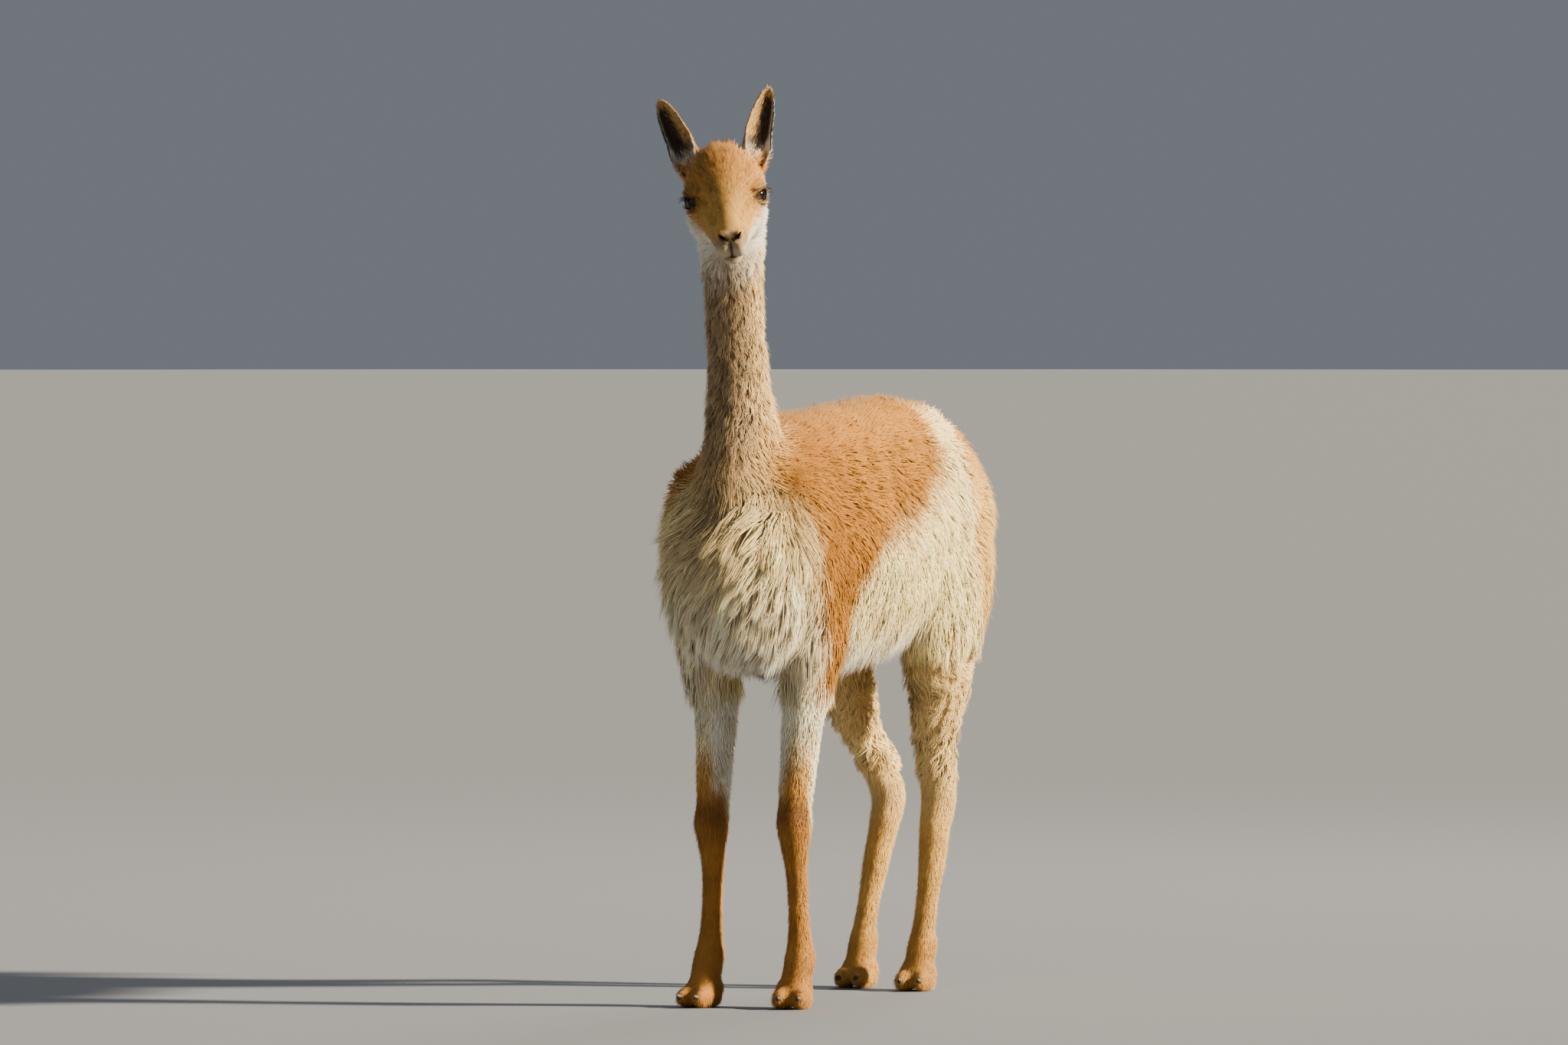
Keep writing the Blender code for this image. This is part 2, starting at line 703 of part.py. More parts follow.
def ear(name, side):
    """A cupped, pointed ear in the head's frame."""
    root, tip = mirrored(EAR_ROOT, side), mirrored(EAR_TIP, side)
    along = (tip - root).normalized()
    opening = mirrored(EAR_OPENS, side)
    opening = (opening - opening.project(along)).normalized()
    across = along.cross(opening)
    rings = []
    for step in range(EAR_RINGS):
        t = step / (EAR_RINGS - 1)
        narrowed = max(0, (t - EAR_NARROWS_FROM) / (1 - EAR_NARROWS_FROM))
        half = EAR_WIDTH / 2 * min(1, EAR_ROOT_SHARE + EAR_WIDENS * t) * math.sqrt(max(0.0025, 1 - narrowed**2))
        opened = min(1, t / EAR_WRAP_OPENS_BY)
        spread = math.radians(EAR_WRAP_AT_ROOT + (EAR_WRAP - EAR_WRAP_AT_ROOT) * opened)
        radius = half / math.sin(min(spread, math.pi / 2))
        wall = EAR_WALL * (1 - 0.55 * t)
        middle = root + along * (EAR_LENGTH + EAR_SUNK) * t - along * EAR_SUNK
        outer, inner = [], []
        for k in range(-EAR_HALF_SIDES, EAR_HALF_SIDES + 1):
            share = k / EAR_HALF_SIDES
            angle = spread * share
            thick = wall * (1 - 0.6 * abs(share) ** 3)
            ray = across * math.sin(angle) - opening * math.cos(angle)
            outer.append(middle + opening * radius * 0.4 + ray * (radius + thick / 2))
            inner.append(middle + opening * radius * 0.4 + ray * max(radius - thick / 2, radius * 0.25))
        rings.append(outer + inner[::-1])
    return loft(name, rings)


def build_body():
    """Trunk, neck, legs and head as one soft body."""
    pieces = [barrel("trunk", TRUNK, sides=36), column("neck_core", NECK)]
    for side in (-1, 1):
        for middle, half, tip in (SHOULDER, HAUNCH):
            pieces.append(ball("mass", mirrored(middle, side), half, (tip, 0, 0)))
    for name in STANCE:
        pieces += leg_pieces(name)
    head = head_pieces()
    for piece in head:
        piece.data.transform(head_frame())
    whole = fused(joined("body", [*pieces, *head]), BODY_VOXEL)
    softened(whole, SOFT_ROUNDS)
    softened(whole, SOFT_BODY_ROUNDS, above=SOFT_FROM)
    return lightened(whole, BODY_TRIANGLES)


def build_foot(name):
    """A foot with its two toes, finer than the body it is parted from, and its nails."""
    _, side = leg_kind(name)
    whole = fused(joined("foot_whole", leg_pieces(name)), FOOT_VOXEL)
    lightened(softened(whole, SOFT_ROUNDS), FOOT_TRIANGLES)
    _, x, y, _, _ = leg_rows(name)[-1]
    foot = part_off(name + "_foot", whole, (x, y, FOOT_TOP / 2), (FOOT_REGION, FOOT_REGION, FOOT_TOP))
    remove([whole])
    nails = []
    words = ("inner", "outer") if side > 0 else ("outer", "inner")
    for word, middle in zip(words, toe_middles()):
        centre = middle + Vector((0, NAIL_LENGTH * 0.36 - TOE_LENGTH / 2, 0.002))
        half = Vector((NAIL_WIDTH / 2, NAIL_LENGTH / 2, NAIL_HEIGHT))
        nail = ball(f"{name}_nail_{word}", centre, half, (NAIL_TIP, 0, 0), fine=False)
        seat = ball("seat", centre, half + Vector((GAP, GAP, GAP)), (NAIL_TIP, 0, 0), fine=False)
        nail.data.transform(foot_frame(name))
        seat.data.transform(foot_frame(name))
        boolean(foot, "DIFFERENCE", seat)
        remove([seat])
        nails.append(nail)
    return largest_shell(foot), nails


def leg_nodes(name, body):
    """Parts one leg off the body: upper leg, shank, foot and nails."""
    hind, side = leg_kind(name)
    x = side * LEG_REGION_X
    y = float(np.mean([row[2] for row in leg_rows(name)]))
    width, depth = LEG_REGION
    joint = (HOCK if hind else KNEE) - JOINT_CUT_UNDER
    foot, nails = build_foot(name)
    waste = part_off("waste", body, (x, y, 0), (width, depth, 2 * FOOT_TOP))
    remove([waste])
    shank = part_off(name + "_shank", body, (x, y, (FOOT_TOP + joint) / 2), (width, depth, joint - FOOT_TOP))
    top = HINDLEG_TOP if hind else FORELEG_TOP
    upper = part_off(name + "_upper", body, (x, y, (joint + top) / 2), (width, depth, top - joint))
    return [upper, shank, foot], nails


def clear_of(piece, other, solver="EXACT"):
    """Cuts a piece back to a thin gap from another."""
    swollen = copied(other, "swollen", GAP)
    boolean(piece, "DIFFERENCE", swollen, solver)
    remove([swollen])
    return largest_shell(piece)


def lock_path(tree, root, flow, bend, length, lift, spans):
    """A lock's line: rooted under the skin, it follows the skin along its flow, rises off it and then hangs."""
    point, normal, _, _ = tree.find_nearest(root)
    point = point - normal * ROOTED
    heading = (flow - flow.project(normal)).normalized()
    path, ups = [point], [normal]
    for i in range(1, spans + 1):
        share = i / spans
        aside = heading.cross(normal).normalized()
        heading = (heading - Vector((0, 0, LOCK_FALL)) * share + aside * bend).normalized()
        point = path[-1] + heading * length / spans
        spot, normal, _, _ = tree.find_nearest(point)
        height = (point - spot).dot(normal)
        wanted = (ROOTED + lift) * share**LOCK_RISES - ROOTED
        if height < wanted:
            point = spot + normal * wanted
        elif normal.z > -LOCK_OVERHANG:
            point = point - normal * (height - wanted) * LOCK_CLINGS
        heading = (point - path[-1]).normalized()
        path.append(point)
        ups.append(normal)
    return path, ups


def lock(name, tree, root, flow, bend, size, lift, spans=4):
    """One flat, tapered lock of a length, width and thickness, along its own line."""
    length, width, thickness = size
    path, ups = lock_path(tree, root, flow, bend, length, lift, spans)
    mesh = bmesh.new()
    rings = []
    for i in range(spans):
        share = i / spans
        along = (path[i + 1] - path[max(0, i - 1)]).normalized()
        across = along.cross(ups[i]).normalized()
        up = across.cross(along)
        wide = width / 2 * (1 - share**LOCK_TAPER)
        thick = thickness / 2 * (1 - LOCK_THINS * share)
        rings.append([mesh.verts.new(path[i] + across * wide * a + up * thick * b) for a, b in LOCK_SECTION])
    tip = mesh.verts.new(path[-1])
    sides = len(LOCK_SECTION)
    for near, far in zip(rings, rings[1:]):
        for i in range(sides):
            j = (i + 1) % sides
            mesh.faces.new((near[i], near[j], far[j]))
            mesh.faces.new((near[i], far[j], far[i]))
    for i in range(sides):
        mesh.faces.new((rings[-1][i], rings[-1][(i + 1) % sides], tip))
    mesh.faces.new(rings[0][::-1])
    bmesh.ops.recalc_face_normals(mesh, faces=mesh.faces)
    return mesh_object(name, mesh)


def grown(node, pieces, solver="MANIFOLD"):
    """Joins locks or curls into the node that they grow from."""
    gathered = bpy.data.collections.new("gathered")
    bpy.context.scene.collection.children.link(gathered)
    for piece in pieces:
        gathered.objects.link(piece)
    join = node.modifiers.new("Grow", "BOOLEAN")
    join.operation = "UNION"
    join.operand_type = "COLLECTION"
    join.collection = gathered
    join.solver = solver
    applied(node)
    remove(pieces)
    bpy.data.collections.remove(gathered)
    return largest_shell(node)


def chest_locks(body):
    """The bib: rows of long locks that sweep down and in over the chest."""
    tree = surface_of(body)
    draw = random.Random(3)
    locks = []
    for row, height in enumerate(np.linspace(BIB_TOP, BIB_BOTTOM, BIB_ROWS)):
        spread = BIB_SPREAD * (BIB_TOP_SPREAD + (1 - BIB_TOP_SPREAD) * min(1, row / BIB_WIDENS_IN))
        axis = Vector((0, BIB_AXIS_Y, height))
        slant = Vector((math.sin(spread / 2), -math.cos(spread / 2), 0))
        radius = (tree.ray_cast(axis + slant * OUTSIDE, -slant)[0] - axis).length
        count = round(2 * spread * radius / BIB_SPACING) + row % 2
        for i in range(count):
            angle = spread * (2 * (i + draw.uniform(0.3, 0.7)) / count - 1)
            outward = Vector((math.sin(angle), -math.cos(angle), 0))
            start = axis + outward * OUTSIDE + Vector((0, 0, draw.uniform(-BIB_RAGGED, BIB_RAGGED)))
            spot, _, _, _ = tree.ray_cast(start, -outward)
            flow = Vector((-math.sin(angle) * BIB_SWEEP + draw.uniform(-BIB_STRAY, BIB_STRAY), 0, -1))
            bend = draw.uniform(-BIB_BEND, BIB_BEND)
            length = min(BIB_LENGTH * draw.uniform(0.85, 1.1), (spot.z - BIB_LOWEST_TIP) * BIB_SLACK)
            length = max(BIB_SHORTEST, length)
            width = BIB_WIDTH * draw.uniform(0.85, 1.15)
            size = (length, width, BIB_THICKNESS)
            locks.append(lock("bib_lock", tree, spot, flow, bend, size, BIB_LIFT))
    return locks


def belly_locks(body):
    """The fringe that hangs along both sides of the belly, from the elbow to the flank."""
    tree = surface_of(body)
    draw = random.Random(5)
    locks = []
    for side in (-1, 1):
        for height, length, stagger in FRINGE_ROWS:
            count = round((FRINGE_TO - FRINGE_FROM) / FRINGE_SPACING)
            for i in range(count):
                share = (i + stagger + draw.uniform(0.3, 0.7)) / (count + 0.5)
                rise = FRINGE_RISE * max(0, share - FRINGE_RISES_FROM) / (1 - FRINGE_RISES_FROM)
                start = Vector((side * OUTSIDE, FRINGE_FROM + (FRINGE_TO - FRINGE_FROM) * share, height + rise))
                spot, _, _, _ = tree.ray_cast(start, Vector((-side, 0, 0)))
                flow = Vector((0, draw.uniform(0.05, 0.4), -1))
                reach = min(length * draw.uniform(0.85, 1.1), spot.z - FRINGE_LOWEST_TIP - rise / 2)
                bend = draw.uniform(-FRINGE_BEND, FRINGE_BEND)
                size = (reach, FRINGE_WIDTH, FRINGE_THICKNESS)
                locks.append(lock("belly_lock", tree, spot, flow, bend, size, FRINGE_LIFT, spans=3))
    return locks


def tail_locks(tail):
    """Shaggy locks round the back and sides of the tail."""
    tree = surface_of(tail)
    draw = random.Random(7)
    locks = []
    for row, height in enumerate(TAIL_LOCK_ROWS):
        for i in range(TAIL_LOCKS_IN_ROW):
            angle = TAIL_LOCK_ARC * (i - 0.2 + 0.5 * (row % 2) + draw.uniform(0.1, 0.4)) / TAIL_LOCKS_IN_ROW
            outward = Vector((math.cos(angle), math.sin(angle), 0))
            start = Vector((*TAIL_AXIS, height)) + outward * OUTSIDE
            spot, _, _, _ = tree.ray_cast(start, -outward)
            bend = draw.uniform(-TAIL_LOCK_BEND, TAIL_LOCK_BEND)
            size = (TAIL_LOCK_LENGTH, TAIL_LOCK_WIDTH, TAIL_LOCK_THICKNESS)
            locks.append(lock("tail_lock", tree, spot, Vector((0, 0, -1)), bend, size, TAIL_LOCK_LIFT))
    return locks


def curls(leg, rows):
    """Rounded clumps of curly wool set close on the outside and back of a thigh."""
    tree = surface_of(leg)
    draw = random.Random(11)
    clumps = []
    for row, height in enumerate(np.linspace(CURL_TOP, CURL_BOTTOM, CURL_ROWS)):
        near = min(rows, key=lambda line: abs(line[0] - height))
        side = 1 if near[1] > 0 else -1
        for i in range(CURLS_IN_ROW):
            angle = CURL_FROM + CURL_STEP * (i + 0.5 * (row % 2) + draw.uniform(0.35, 0.65))
            outward = Vector((side * math.cos(angle), math.sin(angle), 0))
            start = Vector((near[1], near[2], height)) + outward * OUTSIDE
            spot, normal, _, _ = tree.ray_cast(start, -outward)
            half = CURL_HALF * draw.uniform(0.85, 1.15)
            turn = (draw.uniform(-CURL_TIP, CURL_TIP), 0, 0)
            clumps.append(ball("curl", spot - normal * CURL_SUNK, half, turn, fine=False))
    return clumps


def head_and_neck(body):
    """Parts the neck off the body and puts a finer head on it."""
    turn = Matrix.Rotation(HEAD_CUT_TIP, 3, "X")
    above_head_cut = Vector(HEAD_CUT) + turn @ Vector((0, 0, UPPER_REGION[2] / 2))
    whole = build_head()
    head = part_off("head", whole, above_head_cut, UPPER_REGION, HEAD_CUT_TIP)
    waste = part_off("waste", body, above_head_cut, UPPER_REGION, HEAD_CUT_TIP)
    remove([whole, waste])
    turn = Matrix.Rotation(NECK_CUT_TIP, 3, "X")
    above_neck_cut = Vector(NECK_CUT) + turn @ Vector((0, 0, UPPER_REGION[2] / 2))
    neck = part_off("neck", body, above_neck_cut, UPPER_REGION, NECK_CUT_TIP)
    largest_shell(body)
    return finish_head(head), neck


def painted(nodes, colour):
    """Gives nodes their material and smooth shading."""
    paint = material(colour, 0.1 if colour == "eye" else 0.8)
    for node in nodes:
        node.data.materials.clear()
        node.data.materials.append(paint)
        node.data.shade_smooth()


def main():
    remove(list(bpy.data.objects))
    body = build_body()
    body.name = "torso"
    legs, nails = [], []
    for name in STANCE:
        flesh, horn = leg_nodes(name, body)
        legs += flesh
        nails += horn

    head, neck = head_and_neck(body)
    eyes, ears = [], []
    for side, word in ((1, "left"), (-1, "right")):
        eyes.append(eyeball("eye_" + word, side))
        eyes[-1].data.transform(head_frame())
        ears.append(ear("ear_" + word, side))
        ears[-1].data.transform(head_frame())
        clear_of(ears[-1], head)
    tail = column("tail", TAIL, sides=12, per_gap=2)
    grown(tail, tail_locks(tail))
    clear_of(tail, body, solver="MANIFOLD")
    grown(body, chest_locks(body) + belly_locks(body))
    for leg in legs:
        if leg.name.startswith("hind") and leg.name.endswith("upper"):
            grown(leg, curls(leg, leg_rows(leg.name.removesuffix("_upper"))))

    floor = block("floor", (0, 0, -0.5), (3, 3, 1))
    for piece in [*legs, *nails]:
        if piece.name.endswith(("foot", "inner", "outer")):
            boolean(piece, "DIFFERENCE", floor)
    remove([floor])
    rusty = [leg for leg in legs if leg.name.startswith("front") and not leg.name.endswith("upper")]
    painted([head, neck, body, tail, *ears], "fawn")
    painted([leg for leg in legs if leg not in rusty], "cream")
    painted(rusty, "rust")
    painted(eyes, "eye")
    painted(nails, "nail")
    stand_on_origin()
    gather()


def stand_on_origin():
    """Moves everything so that the origin lies on the floor under the middle of the model's box."""
    corners = np.array([v.co for obj in bpy.data.objects for v in obj.data.vertices])
    low, high = corners.min(0), corners.max(0)
    middle = (low + high) / 2
    shift = Matrix.Translation((-middle[0], -middle[1], -low[2]))
    for obj in bpy.data.objects:
        obj.data.transform(shift)
    print("moved by", [round(-float(value), 5) for value in (middle[0], middle[1], low[2])])


def gather():
    """Puts the parts in a collection named for the animal."""
    vicuna = bpy.data.collections.new("vicuna")
    bpy.context.scene.collection.children.link(vicuna)
    for obj in bpy.data.objects:
        bpy.context.scene.collection.objects.unlink(obj)
        vicuna.objects.link(obj)


main()
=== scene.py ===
# %% [markdown]
# # A vicuna in its coat
# This lesson dresses a packed, life-size vicuna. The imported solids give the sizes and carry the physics.
# Blender adds what the eye looks for: skin, eyes, lashes, nails and a coat of many small tufts of real
# mesh.

import json
import math

import bmesh
import bpy
import numpy as np
from mathutils import Matrix, Vector
from mathutils.bvhtree import BVHTree
from mathutils.kdtree import KDTree

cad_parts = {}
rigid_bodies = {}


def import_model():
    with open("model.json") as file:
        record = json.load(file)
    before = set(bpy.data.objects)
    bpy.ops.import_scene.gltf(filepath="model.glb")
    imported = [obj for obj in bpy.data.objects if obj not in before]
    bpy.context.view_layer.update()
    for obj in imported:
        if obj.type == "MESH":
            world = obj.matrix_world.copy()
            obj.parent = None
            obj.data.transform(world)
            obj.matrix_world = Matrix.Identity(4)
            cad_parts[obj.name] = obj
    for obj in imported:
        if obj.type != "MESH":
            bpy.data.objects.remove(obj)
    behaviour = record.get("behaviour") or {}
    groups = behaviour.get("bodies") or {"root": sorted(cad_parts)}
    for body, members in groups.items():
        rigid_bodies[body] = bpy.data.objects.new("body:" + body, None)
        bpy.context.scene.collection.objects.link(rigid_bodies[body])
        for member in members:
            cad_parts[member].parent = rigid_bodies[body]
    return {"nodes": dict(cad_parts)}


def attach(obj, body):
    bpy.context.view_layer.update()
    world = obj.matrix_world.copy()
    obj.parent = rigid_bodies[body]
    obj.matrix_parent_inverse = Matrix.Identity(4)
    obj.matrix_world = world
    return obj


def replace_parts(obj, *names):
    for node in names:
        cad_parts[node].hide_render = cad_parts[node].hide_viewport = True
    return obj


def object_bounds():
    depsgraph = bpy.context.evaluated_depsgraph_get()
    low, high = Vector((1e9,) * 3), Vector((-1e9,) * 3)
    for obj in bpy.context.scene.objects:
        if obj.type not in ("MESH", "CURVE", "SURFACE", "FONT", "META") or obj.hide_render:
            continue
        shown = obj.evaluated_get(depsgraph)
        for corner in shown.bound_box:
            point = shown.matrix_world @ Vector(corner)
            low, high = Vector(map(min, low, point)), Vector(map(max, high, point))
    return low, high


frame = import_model()
cad_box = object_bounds()
box = [tuple(round(c, 3) for c in corner) for corner in cad_box]
print("packed nodes:", len(frame["nodes"]), "box:", box)

# %% [markdown]
# ## Sizes of the body
# A maker of museum animals starts from a manikin with the coat taken off. Its measures are the outline of
# the animal less the depth of the coat. So each table below holds the outline, coat included, and a
# second rule says how deep the coat is there. The tables are measured from a point on the floor, and AT
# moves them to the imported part's origin.

# %% Tables of the trunk, neck, tail and legs
AT = np.array((0.00011, -0.01861, 0.0))
WITHERS = 0.85
KNEE = 0.266
HOCK = 0.28
FETLOCK = 0.07
GAP = 0.0003

# Trunk, front to back: y, top, height of the widest line, bottom, half width.
TRUNK = (
    (-0.398, 0.672, 0.640, 0.602, 0.018),
    (-0.386, 0.712, 0.640, 0.560, 0.054),
    (-0.350, 0.766, 0.640, 0.516, 0.092),
    (-0.290, 0.818, 0.640, 0.494, 0.118),
    (-0.200, WITHERS, 0.642, 0.480, 0.134),
    (-0.080, 0.853, 0.648, 0.474, 0.145),
    (0.060, 0.862, 0.656, 0.478, 0.150),
    (0.170, 0.871, 0.672, 0.502, 0.144),
    (0.270, 0.866, 0.684, 0.540, 0.136),
    (0.360, 0.838, 0.692, 0.586, 0.118),
    (0.425, 0.794, 0.698, 0.626, 0.084),
    (0.458, 0.752, 0.704, 0.658, 0.042),
    (0.466, 0.726, 0.706, 0.688, 0.012),
)

# Neck, bottom to top, and tail, top to bottom: height, x, y, half width, half depth.
NECK = (
    (0.600, 0.000, -0.262, 0.112, 0.100),
    (0.680, 0.000, -0.262, 0.098, 0.112),
    (0.745, 0.000, -0.264, 0.076, 0.110),
    (0.815, 0.000, -0.277, 0.056, 0.084),
    (0.900, -0.001, -0.291, 0.045, 0.057),
    (0.980, -0.003, -0.294, 0.0425, 0.052),
    (1.040, -0.005, -0.298, 0.0440, 0.050),
    (1.085, -0.005, -0.302, 0.0485, 0.050),
    (1.130, -0.004, -0.305, 0.0480, 0.048),
    (1.170, 0.000, -0.312, 0.036, 0.042),
)
TAIL = (
    (0.790, 0.000, 0.420, 0.026, 0.026),
    (0.755, 0.001, 0.448, 0.034, 0.029),
    (0.710, 0.004, 0.462, 0.040, 0.029),
    (0.655, 0.010, 0.460, 0.039, 0.027),
    (0.610, 0.016, 0.452, 0.030, 0.022),
    (0.582, 0.020, 0.446, 0.013, 0.011),
)

# Legs on the animal's left, top to bottom: height, x, y, half width, half depth.
FORELEG = (
    (0.660, 0.080, -0.215, 0.050, 0.075),
    (0.560, 0.082, -0.205, 0.048, 0.075),
    (0.490, 0.074, -0.207, 0.040, 0.056),
    (0.420, 0.067, -0.215, 0.032, 0.042),
    (0.340, 0.063, -0.227, 0.0265, 0.032),
    (KNEE + 0.028, 0.062, -0.235, 0.0250, 0.030),
    (KNEE, 0.062, -0.239, 0.0268, 0.032),
    (KNEE - 0.035, 0.062, -0.235, 0.0215, 0.026),
    (0.190, 0.063, -0.230, 0.0175, 0.0205),
    (0.130, 0.065, -0.227, 0.0165, 0.020),
    (FETLOCK + 0.022, 0.067, -0.228, 0.0195, 0.0235),
    (FETLOCK, 0.068, -0.232, 0.0230, 0.0265),
    (0.040, 0.068, -0.244, 0.0225, 0.026),
    (0.018, 0.068, -0.256, 0.0240, 0.028),
)
HINDLEG = (
    (0.760, 0.060, 0.290, 0.060, 0.100),
    (0.660, 0.080, 0.280, 0.058, 0.120),
    (0.580, 0.088, 0.260, 0.054, 0.116),
    (0.510, 0.088, 0.238, 0.050, 0.092),
    (0.450, 0.082, 0.238, 0.043, 0.066),
    (0.390, 0.072, 0.253, 0.032, 0.049),
    (0.335, 0.063, 0.277, 0.0262, 0.040),
    (HOCK, 0.057, 0.298, 0.0258, 0.035),
    (HOCK - 0.040, 0.056, 0.288, 0.0240, 0.030),
    (0.190, 0.056, 0.278, 0.0215, 0.026),
    (0.130, 0.055, 0.262, 0.0175, 0.0215),
    (FETLOCK + 0.020, 0.055, 0.250, 0.0185, 0.0225),
    (FETLOCK, 0.055, 0.244, 0.0220, 0.0255),
    (0.040, 0.055, 0.233, 0.0220, 0.026),
    (0.018, 0.055, 0.222, 0.0235, 0.028),
)
STANCE = {
    "front_left": (0.000, 0.004, 0.000, 0.000, math.radians(13)),
    "front_right": (0.000, -0.014, 0.000, 0.000, math.radians(9)),
    "hind_left": (0.000, 0.000, 0.000, 0.000, math.radians(7)),
    "hind_right": (0.010, 0.036, 0.022, 0.012, math.radians(2)),
}
# Masses beside the columns: middle, half sizes, tip about X. The heel is measured from the hock.
SHOULDER = ((0.082, -0.235, 0.655), (0.056, 0.090, 0.135), 0.25)
HAUNCH = ((0.074, 0.285, 0.680), (0.062, 0.125, 0.120), 0)
HEEL = ((0.0, 0.022, 0.008), (0.014, 0.020, 0.030), -0.35)
STIFLE = ((0.098, -0.075, 0.575), (0.040, 0.066, 0.070), 0.5)
TOE_LENGTH = 0.068
TOE_WIDTH = 0.028
TOE_HEIGHT = 0.036
# Shares of a toe's width, length and height: where its middle lies, and the half sizes of its two balls.
TOE_MIDDLE = (0.52, 0.10, 0.40)
TOE_BALLS = (((0.5, 0.5, 0.5), (0, 0, 0)), ((0.42, 0.34, 0.44), (0, 0.016, 0.014)))

# How deep the coat is over the trunk, and by height on the legs and the neck.
TRUNK_COAT = 0.012
TAIL_COAT = 0.012
HEEL_COAT = 0.003
TOE_COAT = 0.0008
LEG_COAT = ((0.0, 0.10, 0.30, 0.40, 0.50, 0.60), (0.0012, 0.0022, 0.0035, 0.0052, 0.0085, 0.012))
NECK_COAT = ((0.60, 0.80, 0.90, 1.10, 1.17), (0.014, 0.012, 0.010, 0.008, 0.006))
print("withers:", WITHERS, "hock:", HOCK, "coat on the trunk:", TRUNK_COAT)

# %% [markdown]
# ## Simple solids
# A body can be built the way clay is: columns for limbs, a barrel for the trunk and balls for muscles,
# all pressed together. A smooth curve through each table's rows keeps the columns from looking turned on
# a lathe.


# %% Columns, barrels and balls
def rows_between(rows, per_gap=5):
    """Rows of a table with more between them, on a Catmull-Rom curve through the given ones."""
    rows = np.array(rows, float)
    ends = np.vstack([2 * rows[0] - rows[1], rows, 2 * rows[-1] - rows[-2]])
    found = []
    for i in range(1, len(rows)):
        a, b, c, d = ends[i - 1 : i + 3]
        square, cube = 2 * a - 5 * b + 4 * c - d, 3 * b - a - 3 * c + d
        for t in np.arange(per_gap) / per_gap:
            found.append(0.5 * (2 * b + (c - a) * t + square * t**2 + cube * t**3))
    found.append(rows[-1])
    return np.array(found)


def linked(name, data):
    """A scene object that holds a mesh, a lamp or a camera."""
    obj = bpy.data.objects.new(name, data)
    bpy.context.scene.collection.objects.link(obj)
    return obj


def new_object(name, mesh):
    """A scene object from a bmesh."""
    data = bpy.data.meshes.new(name)
    mesh.to_mesh(data)
    mesh.free()
    return linked(name, data)


def loft(name, rings):
    """A closed tube through rings of points."""
    mesh = bmesh.new()
    made = [[mesh.verts.new(point) for point in ring] for ring in rings]
    sides = len(made[0])
    for near, far in zip(made, made[1:]):
        for i in range(sides):
            j = (i + 1) % sides
            mesh.faces.new((near[i], near[j], far[j], far[i]))
    mesh.faces.new(made[0][::-1])
    mesh.faces.new(made[-1])
    bmesh.ops.recalc_face_normals(mesh, faces=mesh.faces)
    return new_object(name, mesh)


def turns(count):
    return [2 * math.pi * i / count for i in range(count)]


def barrel(name, rows, depth, sides=48, squareness=2.15):
    """A body along Y from the rows of a table, less the coat's depth at each y."""
    rings = []
    rows = rows_between(rows)
    middle_y = (rows[0][0] + rows[-1][0]) / 2
    half_length = abs(rows[-1][0] - rows[0][0]) / 2
    for y, top, middle, bottom, half in rows:
        coat = depth(y)
        ring = []
        for turn in turns(sides):
            c, s = math.cos(turn), math.sin(turn)
            across = math.copysign(abs(c) ** (2 / squareness), c)
            up = math.copysign(abs(s) ** (2 / squareness), s)
            rise = max(0.002, (top - middle if s > 0 else middle - bottom) - coat)
            along = middle_y + (y - middle_y) * (1 - coat / half_length)
            ring.append((max(0.002, half - coat) * across, along, middle + rise * up))
        rings.append(ring)
    return loft(name, rings)


def column(name, rows, depth, sides=32):
    """A limb along Z from the rows of a table, less the coat's depth at each height."""
    rings = []
    for z, x, y, half_width, half_depth in rows_between(rows):
        wide, deep = max(0.001, half_width - depth(z)), max(0.001, half_depth - depth(z))
        rings.append([(x + wide * math.cos(t), y + deep * math.sin(t), z) for t in turns(sides)])
    return loft(name, rings)


def ball(name, centre, half_sizes, turn=(0, 0, 0), coat=0.0):
    """A solid ellipsoid, turned about X, then Y, then Z, less the coat's depth."""
    mesh = bmesh.new()
    bmesh.ops.create_uvsphere(mesh, u_segments=32, v_segments=20, radius=1)
    place = Matrix.Translation(centre)
    for axis, angle in zip("ZYX", reversed(turn)):
        place = place @ Matrix.Rotation(angle, 4, axis)
    place = place @ Matrix.Diagonal((*[half - coat for half in half_sizes], 1))
    bmesh.ops.transform(mesh, matrix=place, verts=mesh.verts)
    return new_object(name, mesh)


def mirrored(point, side):
    return Vector((side * point[0], point[1], point[2]))


# %% [markdown]
# ## Pressing the pieces together
# Boolean unions keep every crease between two balls. A voxel remesh lays one even skin over all of them,
# as plaster would, and a smooth modifier then softens the creases. It is the quickest road from many
# pieces to one skin.


# %% Remesh, smooth and join
def applied(obj):
    """Replaces an object's mesh by what its modifiers make of it."""
    bpy.context.view_layer.update()
    graph = bpy.context.evaluated_depsgraph_get()
    data = bpy.data.meshes.new_from_object(obj.evaluated_get(graph))
    obj.modifiers.clear()
    obj.data = data
    return obj


def remove(objects):
    for obj in objects:
        bpy.data.objects.remove(obj)


def joined(name, objects):
    """One object that holds all the shells of several."""
    mesh = bmesh.new()
    for obj in objects:
        mesh.from_mesh(obj.data)
    remove(objects)
    return new_object(name, mesh)


def fused(obj, voxel, rounds):
    """Fuses overlapping shells into one skin and softens it."""
    remesh = obj.modifiers.new("Fuse", "REMESH")
    remesh.mode = "VOXEL"
    remesh.voxel_size = voxel
    soften = obj.modifiers.new("Soften", "SMOOTH")
    soften.iterations = rounds
    return applied(obj)


